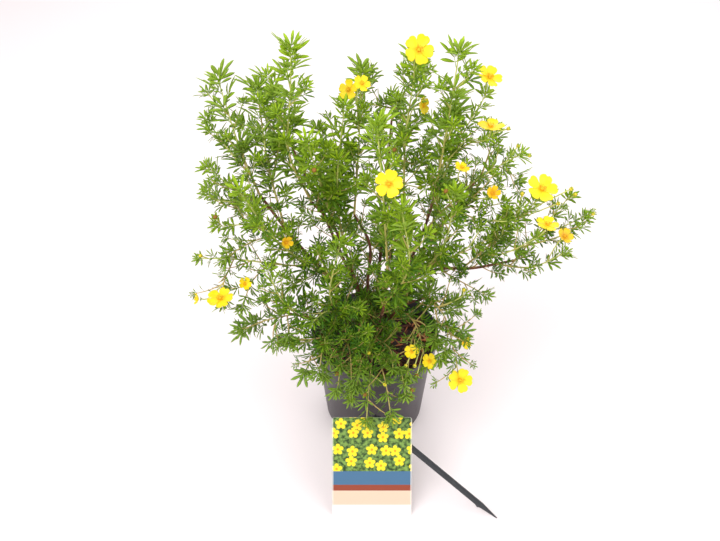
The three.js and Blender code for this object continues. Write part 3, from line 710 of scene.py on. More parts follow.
class Sheet:
    """Collects points and faces of one mesh, with a UV map and named numbers."""

    def __init__(self) -> None:
        """Starts empty."""
        self.points: list[Vector] = []
        self.faces: list[tuple[int, ...]] = []
        self.charts: list[list[Flat]] = []
        self.under: list[float] = []
        self.husks: list[float] = []

    def point(self, place: Vector, husk: float = 0.0) -> int:
        """Adds a point.

        Args:
            place: Where it lies.
            husk: 0 for green tissue, up to 1 for other tissue.

        Returns:
            Its number.
        """
        self.points.append(place)
        self.husks.append(husk)
        return len(self.points) - 1

    def face(self, corners: Sequence[int], chart: Sequence[Flat], under: float = 0.0) -> None:
        """Adds a face.

        Args:
            corners: Numbers of its points.
            chart: UV of each corner.
            under: 1 on the underside of a leaf, else 0.
        """
        self.faces.append(tuple(corners))
        self.charts.append(list(chart))
        self.under.append(under)

    def skin(self, rows: Sequence[Sequence[int]], segments: int) -> None:
        """Spans faces between closed rows of points, of which some may be a single point.

        Args:
            rows: Numbers of the points of each row.
            segments: Points of a full row.
        """
        for near, far in zip(rows, rows[1:]):
            for i in range(segments):
                j = (i + 1) % segments
                corners = [near[i % len(near)], near[j % len(near)], far[j % len(far)], far[i % len(far)]]
                kept = list(dict.fromkeys(corners))
                if len(kept) > 2:
                    self.face(kept, (PLAIN,) * len(kept))

    def slab(self, lower: Sequence[int], upper: Sequence[int], top: Sequence[Flat],
             rest: Sequence[Flat]) -> None:
        """Closes a slab between two outlines of points.

        Args:
            lower: Numbers of the points beneath.
            upper: Numbers of the points above them.
            top: UV of the upper face.
            rest: UV of the lower face, and of the sides.
        """
        self.face(upper, top)
        self.face(lower[::-1], rest)
        for i in range(len(lower)):
            j = (i + 1) % len(lower)
            self.face((lower[i], lower[j], upper[j], upper[i]), rest[:4])

    def build(self, name: str, smooth: bool = True) -> Shape:
        """Makes an object of what was collected.

        Args:
            name: Name of the object.
            smooth: Whether its faces are smooth.

        Returns:
            The object, linked to the scene.
        """
        mesh = bpy.data.meshes.new(name)
        mesh.from_pydata([tuple(place) for place in self.points], [], self.faces)
        chart = mesh.uv_layers.new(name="UVMap")
        under = mesh.attributes.new("underside", "FLOAT", "FACE")
        husk = mesh.attributes.new("husk", "FLOAT", "POINT")
        marks = [number for corners in self.charts for pair in corners for number in pair]
        chart.data.foreach_set("uv", marks)
        under.data.foreach_set("value", self.under)
        husk.data.foreach_set("value", self.husks)
        mesh.polygons.foreach_set("use_smooth", [smooth] * len(mesh.polygons))
        mesh.update()
        shape = bpy.data.objects.new(name, mesh)
        bpy.context.scene.collection.objects.link(shape)
        return shape


def leaflet(sheet: Sheet, root: Matrix, length: float, width: float, curl: float,
            husk: float = 0.0) -> None:
    """Adds one leaflet: a thin closed lens, folded a little along its midrib.

    Args:
        sheet: Mesh that it joins.
        root: Frame of its foot, with X along it and Z its upper side.
        length: Length.
        width: Greatest width.
        curl: Share of its length by which the tip bends down.
        husk: 0 for green tissue, up to 1 for other tissue.
    """
    half, thick = width / 2, LEAFLET_THICKNESS * length
    foot = sheet.point(root @ Vector((0, 0, 0)), husk)
    rings = []
    for along, share in LEAFLET_RINGS:
        drop = -curl * length * along * along
        fold = LEAFLET_FOLD * half * share
        side = half * share
        x = along * length
        rings.append((along, [
            sheet.point(root @ Vector((x, -side, drop + fold)), husk),
            sheet.point(root @ Vector((x, 0, drop + thick)), husk),
            sheet.point(root @ Vector((x, side, drop + fold)), husk),
            sheet.point(root @ Vector((x, 0, drop - thick)), husk),
        ]))
    tip = sheet.point(root @ Vector((length, 0, -curl * length)), husk)
    for (start, near), (end, far) in zip(rings, rings[1:]):
        for i, (u0, u1, under) in enumerate(LEAFLET_QUARTERS):
            j = (i + 1) % 4
            marks = ((u1, start), (u0, start), (u0, end), (u1, end))
            sheet.face((near[j], near[i], far[i], far[j]), marks, under)
    (begin, first), (finish, last) = rings[0], rings[-1]
    for i, (u0, u1, under) in enumerate(LEAFLET_QUARTERS):
        j = (i + 1) % 4
        sheet.face((first[j], foot, first[i]), ((u1, begin), FOOT_MARK, (u0, begin)), under)
        sheet.face((last[j], last[i], tip), ((u1, finish), (u0, finish), (0.5, 1)), under)


def rod(sheet: Sheet, start: Vector, end: Vector, first: float, last: float) -> None:
    """Adds a thin closed rod.

    Args:
        sheet: Mesh that it joins.
        start: One end.
        end: The other end.
        first: Radius at the start.
        last: Radius at the end.
    """
    turn = (end - start).to_track_quat("Z", "Y")
    rings = [
        [sheet.point(centre + turn @ on_circle(radius, i, ROD_SIDES)) for i in range(ROD_SIDES)]
        for centre, radius in ((start, first), (end, last))
    ]
    for i in range(ROD_SIDES):
        j = (i + 1) % ROD_SIDES
        sheet.face((rings[0][i], rings[0][j], rings[1][j], rings[1][i]), (FOOT_MARK,) * 4)
    sheet.face(rings[0][::-1], (FOOT_MARK,) * ROD_SIDES)
    sheet.face(rings[1], (FOOT_MARK,) * ROD_SIDES)


def knob(sheet: Sheet, centre: Vector, wide: float, tall: float, husk: float, sides: int = 8) -> None:
    """Adds a closed round knob.

    Args:
        sheet: Mesh that it joins.
        centre: Its middle.
        wide: Its radius.
        tall: Half its height.
        husk: 0 for green tissue, up to 1 for other tissue.
        sides: Its sides.
    """
    rings = []
    for level in KNOB_LEVELS:
        radius = wide * math.sqrt(1 - level * level)
        rings.append([sheet.point(centre + on_circle(radius, i, sides, tall * level), husk)
                      for i in range(sides)])
    low = sheet.point(centre - Vector((0, 0, tall)), husk)
    high = sheet.point(centre + Vector((0, 0, tall)), husk)
    for i in range(sides):
        j = (i + 1) % sides
        for near, far in zip(rings, rings[1:]):
            sheet.face((near[i], near[j], far[j], far[i]), (FOOT_MARK,) * 4)
        sheet.face((rings[0][j], rings[0][i], low), (FOOT_MARK,) * 3)
        sheet.face((rings[-1][i], rings[-1][j], high), (FOOT_MARK,) * 3)


def lathe(name: str, profile: Sequence[Flat], segments: int) -> Shape:
    """Turns a closed profile round Z.

    Args:
        name: Name of the object.
        profile: Radius and height of each point, in millimetres, from axis to axis.
        segments: Sides of the turned shape.

    Returns:
        The object.
    """
    sheet = Sheet()
    rows = []
    for radius, height in profile:
        count = segments if radius > 0 else 1
        rows.append([sheet.point(on_circle(radius, i, segments, height) * MM) for i in range(count)])
    sheet.skin(rows, segments)
    shape = sheet.build(name)
    outward(shape)
    return shape


def outward(shape: Shape) -> None:
    """Merges doubles and turns the faces of a closed mesh outwards.

    Args:
        shape: Object of the mesh.
    """
    work = bmesh.new()
    work.from_mesh(shape.data)
    bmesh.ops.remove_doubles(work, verts=work.verts, dist=MERGE_DISTANCE)
    bmesh.ops.recalc_face_normals(work, faces=work.faces)
    work.to_mesh(shape.data)
    work.free()


def joined(name: str, shapes: Sequence[Shape]) -> Shape:
    """Joins objects that lie at the origin into the first one.

    Args:
        name: Name of the joined object.
        shapes: The objects.

    Returns:
        The first one, with all of their faces.
    """
    bpy.ops.object.select_all(action="DESELECT")
    for shape in shapes:
        shape.select_set(True)
    bpy.context.view_layer.objects.active = shapes[0]
    bpy.ops.object.join()
    shapes[0].name = name
    return shapes[0]


def applied(shape: Shape, name: str) -> Shape:
    """Turns an object with modifiers into a plain mesh.

    Args:
        shape: Object with its modifiers, which is deleted.
        name: Name of the plain one.

    Returns:
        The plain object.
    """
    bpy.context.view_layer.update()
    graph = bpy.context.evaluated_depsgraph_get()
    mesh = bpy.data.meshes.new_from_object(shape.evaluated_get(graph))
    bpy.data.objects.remove(shape)
    plain = bpy.data.objects.new(name, mesh)
    bpy.context.scene.collection.objects.link(plain)
    return plain


def carved(shape: Shape, cutter: Shape) -> None:
    """Lets a cutter take its room out of a shape, once the modifiers are applied.

    Args:
        shape: What is cut.
        cutter: What cuts it.
    """
    cut = shape.modifiers.new("cut", "BOOLEAN")
    cut.operation = "DIFFERENCE"
    cut.solver = "EXACT"
    cut.object = cutter


def stored(name: str, shapes: Iterable[Shape]) -> bpy.types.Collection:
    """Moves shapes out of the scene into a collection of their own.

    Args:
        name: Name of the collection.
        shapes: The shapes.

    Returns:
        The collection.
    """
    store = bpy.data.collections.new(name)
    bpy.context.scene.collection.children.link(store)
    for shape in shapes:
        bpy.context.scene.collection.objects.unlink(shape)
        store.objects.link(shape)
    return store


def discard(store: bpy.types.Collection) -> None:
    """Deletes a collection of shapes once they have been grown.

    Args:
        store: The collection.
    """
    for shape in list(store.objects):
        bpy.data.objects.remove(shape)
    bpy.data.collections.remove(store)


def dressed(piece: Shape, nodes: Sequence[str], body: str = ROOT_BODY) -> None:
    """Hangs a finished piece on its body and the nodes that it stands for.

    Args:
        piece: The finished piece.
        nodes: Names of the nodes that it replaces.
        body: Body that it rides on.
    """
    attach(piece, body)
    for node in nodes:
        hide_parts(node)
    faces = len(piece.data.polygons)
    log.info("%s: %d faces, stands for %s", piece.name, faces, ", ".join(nodes) or "nothing")


# Geometry Nodes


SPRIG_SCALE = 1.0


class Grower:
    """The tree that grows a skeleton: tubes along its edges and a sprig on each of its sites."""

    def __init__(self, name: str, sprigs: bpy.types.Collection, sprig: bpy.types.Material,
                 stem: bpy.types.Material) -> None:
        """Builds the tree.

        Args:
            name: Name of the tree.
            sprigs: Shapes that a site may carry, by name in their order.
            sprig: Material of the sprigs.
            stem: Material of the tubes.
        """
        self.tree = bpy.data.node_groups.new(name, "GeometryNodeTree")
        face = self.tree.interface
        face.new_socket("Geometry", in_out="INPUT", socket_type="NodeSocketGeometry")
        sides = face.new_socket("Stem Sides", in_out="INPUT", socket_type="NodeSocketInt")
        scale = face.new_socket("Sprig Scale", in_out="INPUT", socket_type="NodeSocketFloat")
        seed = face.new_socket("Seed", in_out="INPUT", socket_type="NodeSocketInt")
        spread = face.new_socket("Tone Spread", in_out="INPUT", socket_type="NodeSocketFloat")
        face.new_socket("Geometry", in_out="OUTPUT", socket_type="NodeSocketGeometry")
        self.keys = {"sides": sides.identifier, "scale": scale.identifier, "seed": seed.identifier,
                     "spread": spread.identifier}
        bench = Bench(self.tree)
        given = bench.node("NodeGroupInput")

        def take(label: str) -> Value:
            """One input of the tree."""
            return Value(bench, given.outputs[label])

        parts = bench.node("GeometryNodeSeparateGeometry", {"domain": "POINT"}, {
            "Geometry": take("Geometry"),
            "Selection": self._named(bench, "site", "BOOLEAN"),
        })
        sites, lines = Value(bench, parts.outputs[0]), Value(bench, parts.outputs[1])
        curves = bench.add("GeometryNodeMeshToCurve", None, {"Mesh": lines})
        curves = bench.add("GeometryNodeSetCurveRadius", None, {
            "Curve": curves, "Radius": self._named(bench, "girth", "FLOAT"),
        })
        ring = bench.add("GeometryNodeCurvePrimitiveCircle", {"mode": "RADIUS"}, {
            "Resolution": take("Stem Sides"), "Radius": 1.0,
        })
        tube_node = bench.node("GeometryNodeCurveToMesh", None, {
            "Curve": curves, "Profile Curve": ring, "Fill Caps": True,
        })
        if "Scale" in tube_node.inputs:
            self.tree.links.new(self._named(bench, "girth", "FLOAT").socket, tube_node.inputs["Scale"])
        tubes = bench.add("GeometryNodeSetMaterial", None, {
            "Geometry": Value(bench, tube_node.outputs[0]), "Material": stem,
        })
        shapes = bench.add("GeometryNodeCollectionInfo", None, {
            "Collection": sprigs, "Separate Children": True, "Reset Children": True,
        })
        placed = bench.add("GeometryNodeInstanceOnPoints", None, {
            "Points": sites,
            "Instance": shapes,
            "Pick Instance": True,
            "Instance Index": self._named(bench, "kind", "INT"),
            "Rotation": self._named(bench, "turn", "FLOAT_VECTOR"),
            "Scale": self._named(bench, "size", "FLOAT") * take("Sprig Scale"),
        })
        drift = bench.add("FunctionNodeRandomValue", {"data_type": "FLOAT"}, {
            2: -1.0, 3: 1.0, "Seed": take("Seed"),
        }, 1)
        toned = bench.add("GeometryNodeStoreNamedAttribute", {"data_type": "FLOAT", "domain": "INSTANCE"}, {
            "Geometry": placed,
            "Name": "youth",
            "Value": self._named(bench, "youth", "FLOAT") + drift * take("Tone Spread"),
        })
        whole = bench.add("GeometryNodeRealizeInstances", None, {"Geometry": toned})
        whole = bench.add("GeometryNodeSetMaterial", None, {"Geometry": whole, "Material": sprig})
        both = bench.add("GeometryNodeJoinGeometry", None, {"Geometry": [whole, tubes]})
        bench.node("NodeGroupOutput", None, {"Geometry": both})

    @staticmethod
    def _named(bench: Bench, name: str, kind: str) -> Value:
        """A named attribute of the skeleton."""
        made = bench.node("GeometryNodeInputNamedAttribute", {"data_type": kind}, {"Name": name})
        return Value(bench, next(out for out in made.outputs if out.enabled and out.name == "Attribute"))

    def grow(self, skeleton: "Skeleton", name: str, sides: int, seed: int, spread: float) -> Shape:
        """Grows a skeleton into a plain mesh.

        Args:
            skeleton: What to grow.
            name: Name of the mesh.
            sides: Sides of its tubes.
            seed: Seed of its tones.
            spread: How far tones drift.

        Returns:
            The plain object.
        """
        shape = skeleton.build(name + "_skeleton")
        modifier = shape.modifiers.new("grow", "NODES")
        modifier.node_group = self.tree
        modifier[self.keys["sides"]] = sides
        modifier[self.keys["scale"]] = SPRIG_SCALE
        modifier[self.keys["seed"]] = seed
        modifier[self.keys["spread"]] = spread
        plain = applied(shape, name)
        plain.data.polygons.foreach_set("use_smooth", [True] * len(plain.data.polygons))
        return plain


class Skeleton:
    """Chains of points with a girth, and sites that carry sprigs."""

    LAYERS = {"site": "BOOLEAN", "girth": "FLOAT", "kind": "INT", "turn": "FLOAT_VECTOR", "size": "FLOAT",
              "youth": "FLOAT"}

    def __init__(self) -> None:
        """Starts empty."""
        self.points: list[Vector] = []
        self.edges: list[tuple[int, int]] = []
        self.rows: list[dict[str, object]] = []

    def stem(self, route: "Route", first: float, last: float, count: int, youth: tuple[float, float]) -> None:
        """Adds a stem along a route.

        Args:
            route: Its way.
            first: Radius at its foot.
            last: Radius at its tip.
            count: Stretches.
            youth: Tone at its foot and its tip.
        """
        begin = len(self.points)
        for i in range(count + 1):
            share = i / count
            self.points.append(route.point(share))
            self.rows.append({
                "site": False, "girth": first + (last - first) * share, "kind": 0, "turn": Vector((0, 0, 0)),
                "size": 0.0, "youth": youth[0] + (youth[1] - youth[0]) * share,
            })
            if i:
                self.edges.append((begin + i - 1, begin + i))

    def site(self, place: Vector, turn: Quaternion, size: float, kind: int, youth: float) -> None:
        """Adds a site for a sprig.

        Args:
            place: Where it stands.
            turn: How it stands.
            size: Its size.
            kind: Its place among the sprigs.
            youth: Its tone.
        """
        self.points.append(place)
        self.rows.append({
            "site": True, "girth": 0.0, "kind": kind, "turn": Vector(turn.to_euler("XYZ")),
            "size": size, "youth": youth,
        })

    def build(self, name: str) -> Shape:
        """Makes the object that the tree reads.

        Args:
            name: Name of the object.

        Returns:
            The object.
        """
        mesh = bpy.data.meshes.new(name)
        mesh.from_pydata([tuple(place) for place in self.points], self.edges, [])
        for label, kind in self.LAYERS.items():
            layer = mesh.attributes.new(label, kind, "POINT")
            values = [row[label] for row in self.rows]
            if kind == "FLOAT_VECTOR":
                layer.data.foreach_set("vector", [number for value in values for number in value])
            else:
                layer.data.foreach_set("value", values)
        shape = bpy.data.objects.new(name, mesh)
        bpy.context.scene.collection.objects.link(shape)
        return shape


class Route:
    """A smooth way through points, measured along its length."""

    SAMPLES = 24
    LEAST_KNOT = 1e-4
    LEAST_WIDTH = 1e-9

    def __init__(self, points: Sequence[Vector]) -> None:
        """Samples the way once.

        Args:
            points: The points that it passes.
        """
        ends = [2 * points[0] - points[1], *points, 2 * points[-1] - points[-2]]
        self.samples = [points[0].copy()]
        for i in range(len(points) - 1):
            for step in range(1, self.SAMPLES + 1):
                self.samples.append(self._between(*ends[i:i + 4], step / self.SAMPLES))
        self.lengths = [0.0]
        for near, far in zip(self.samples, self.samples[1:]):
            self.lengths.append(self.lengths[-1] + (far - near).length)
        self.length = self.lengths[-1]

    @classmethod
    def _between(cls, p0: Vector, p1: Vector, p2: Vector, p3: Vector, share: float) -> Vector:
        """A point on the centripetal curve through four points.

        Args:
            p0: First point.
            p1: Second point, where the share is 0.
            p2: Third point, where it is 1.
            p3: Fourth point.
            share: How far along the middle stretch.

        Returns:
            The point.
        """
        d0, d1, d2 = (max((b - a).length ** 0.5, cls.LEAST_KNOT) for a, b in ((p0, p1), (p1, p2), (p2, p3)))
        leave = ((p1 - p0) / d0 - (p2 - p0) / (d0 + d1) + (p2 - p1) / d1) * d1
        reach = ((p2 - p1) / d1 - (p3 - p1) / (d1 + d2) + (p3 - p2) / d2) * d1
        return (p1 + leave * share + (-3 * p1 + 3 * p2 - 2 * leave - reach) * share ** 2
                + (2 * p1 - 2 * p2 + leave + reach) * share ** 3)

    def _span(self, share: float) -> tuple[int, float]:
        """The stretch that holds a share of the length.

        Args:
            share: Share of the length.

        Returns:
            The stretch's number, and how far along it the share lies.
        """
        target = min(max(share, 0.0), 1.0) * self.length
        last = len(self.samples) - 2
        index = next((i for i, length in enumerate(self.lengths[1:]) if length >= target), last)
        width = self.lengths[index + 1] - self.lengths[index]
        return index, (target - self.lengths[index]) / max(width, self.LEAST_WIDTH)

    def point(self, share: float) -> Vector:
        """The point at a share of the length."""
        index, part = self._span(share)
        return self.samples[index].lerp(self.samples[index + 1], min(part, 1.0))

    def direction(self, share: float) -> Vector:
        """The direction at a share of the length."""
        index, _ = self._span(share)
        return (self.samples[index + 1] - self.samples[index]).normalized()


# The plant's plan


class Sprig(Enum):
    """What a site may carry; the value is its place among the sprig shapes."""

    LEAF = 0
    NARROW_LEAF = 1
    SMALL_LEAF = 2
    CALYX = 3
    SPENT = 4
    BUD = 5


class HeadKind(Enum):
    """What stands at the end of a flower stalk."""

    BLOOM = "bloom"
    SPENT = "spent"
    BUD = "bud"


@dataclass(frozen=True)
class WoodStem:
    """A bark-covered stem: its radius and the points it passes, in millimetres."""

    radius: float
    route: tuple[Point, ...]


@dataclass(frozen=True)
class Head:
    """A bloom, spent flower or bud on its stalk, in millimetres."""

    kind: HeadKind
    at: Point
    share: float
    face: Point | None = None
    width: float = 0.0
    stem: int = 0
    faded: bool = False


@dataclass(frozen=True)
class Shoot:
    """A green stem: the points it passes, in millimetres, and the length of its leaflets."""

    route: tuple[Point, ...]
    size: float
    fork: float = 0.0


@dataclass(frozen=True)
class Spray:
    """The green stems that grow from one place on a woody stem.

    Fillers are finer shoots and extras are buds and heads that only this script adds.
    """

    name: str
    on: str
    at: float
    shoots: tuple[Shoot, ...]
    heads: tuple[Head, ...] = ()
    fillers: tuple[Shoot, ...] = ()
    extras: tuple[Head, ...] = ()


WOOD: dict[str, WoodStem] = {
    "left": WoodStem(3.1, ((0, 0, 112), (-12, -2, 150), (-46, -5, 217), (-98, -15, 303), (-138, 0, 359))),
    "inner_left": WoodStem(2.8, ((0, 0, 112), (-8, 2, 150), (-28, 5, 232), (-52, 10, 305), (-78, 0, 350))),
    "centre": WoodStem(2.6, ((0, 0, 112), (-4, 2, 160), (-10, 0, 224), (-8, 8, 280), (-27, 13, 322))),
    "right_centre": WoodStem(2.6, ((0, 0, 112), (4, 3, 160), (14, 6, 240), (26, 8, 300), (32, 10, 345))),
    "right": WoodStem(2.6, ((0, 0, 112), (10, 1, 150), (34, 0, 235), (57, 0, 305), (69, 0, 368))),
    "right_low": WoodStem(2.7, (
        (0, 0, 112), (14, -2, 160), (44, -5, 232), (80, 0, 247), (120, -2, 250), (172, -5, 265),
    )),
    "front_right": WoodStem(2, ((0, 0, 112), (9, -8, 150), (32, -25, 205), (60, -47, 240))),
    "front": WoodStem(2.3, ((0, 0, 112), (2, -12, 150), (6, -40, 200), (10, -64, 250), (12, -74, 300))),
    "front_left": WoodStem(2.3, (
        (0, 0, 112), (-8, -10, 145), (-32, -36, 180), (-72, -60, 215), (-110, -74, 240),
    )),
    "back_left": WoodStem(2.6, (
        (0, 0, 112), (-8, 12, 150), (-35, 42, 210), (-78, 85, 300), (-108, 112, 360),
    )),
    "back": WoodStem(2.5, ((0, 0, 112), (1, 14, 150), (6, 45, 220), (14, 92, 320), (20, 122, 390))),
    "back_right": WoodStem(2.5, ((0, 0, 112), (9, 11, 150), (42, 40, 205), (95, 82, 268), (140, 112, 318))),
}

BLOOM, SPENT, BUD = HeadKind.BLOOM, HeadKind.SPENT, HeadKind.BUD

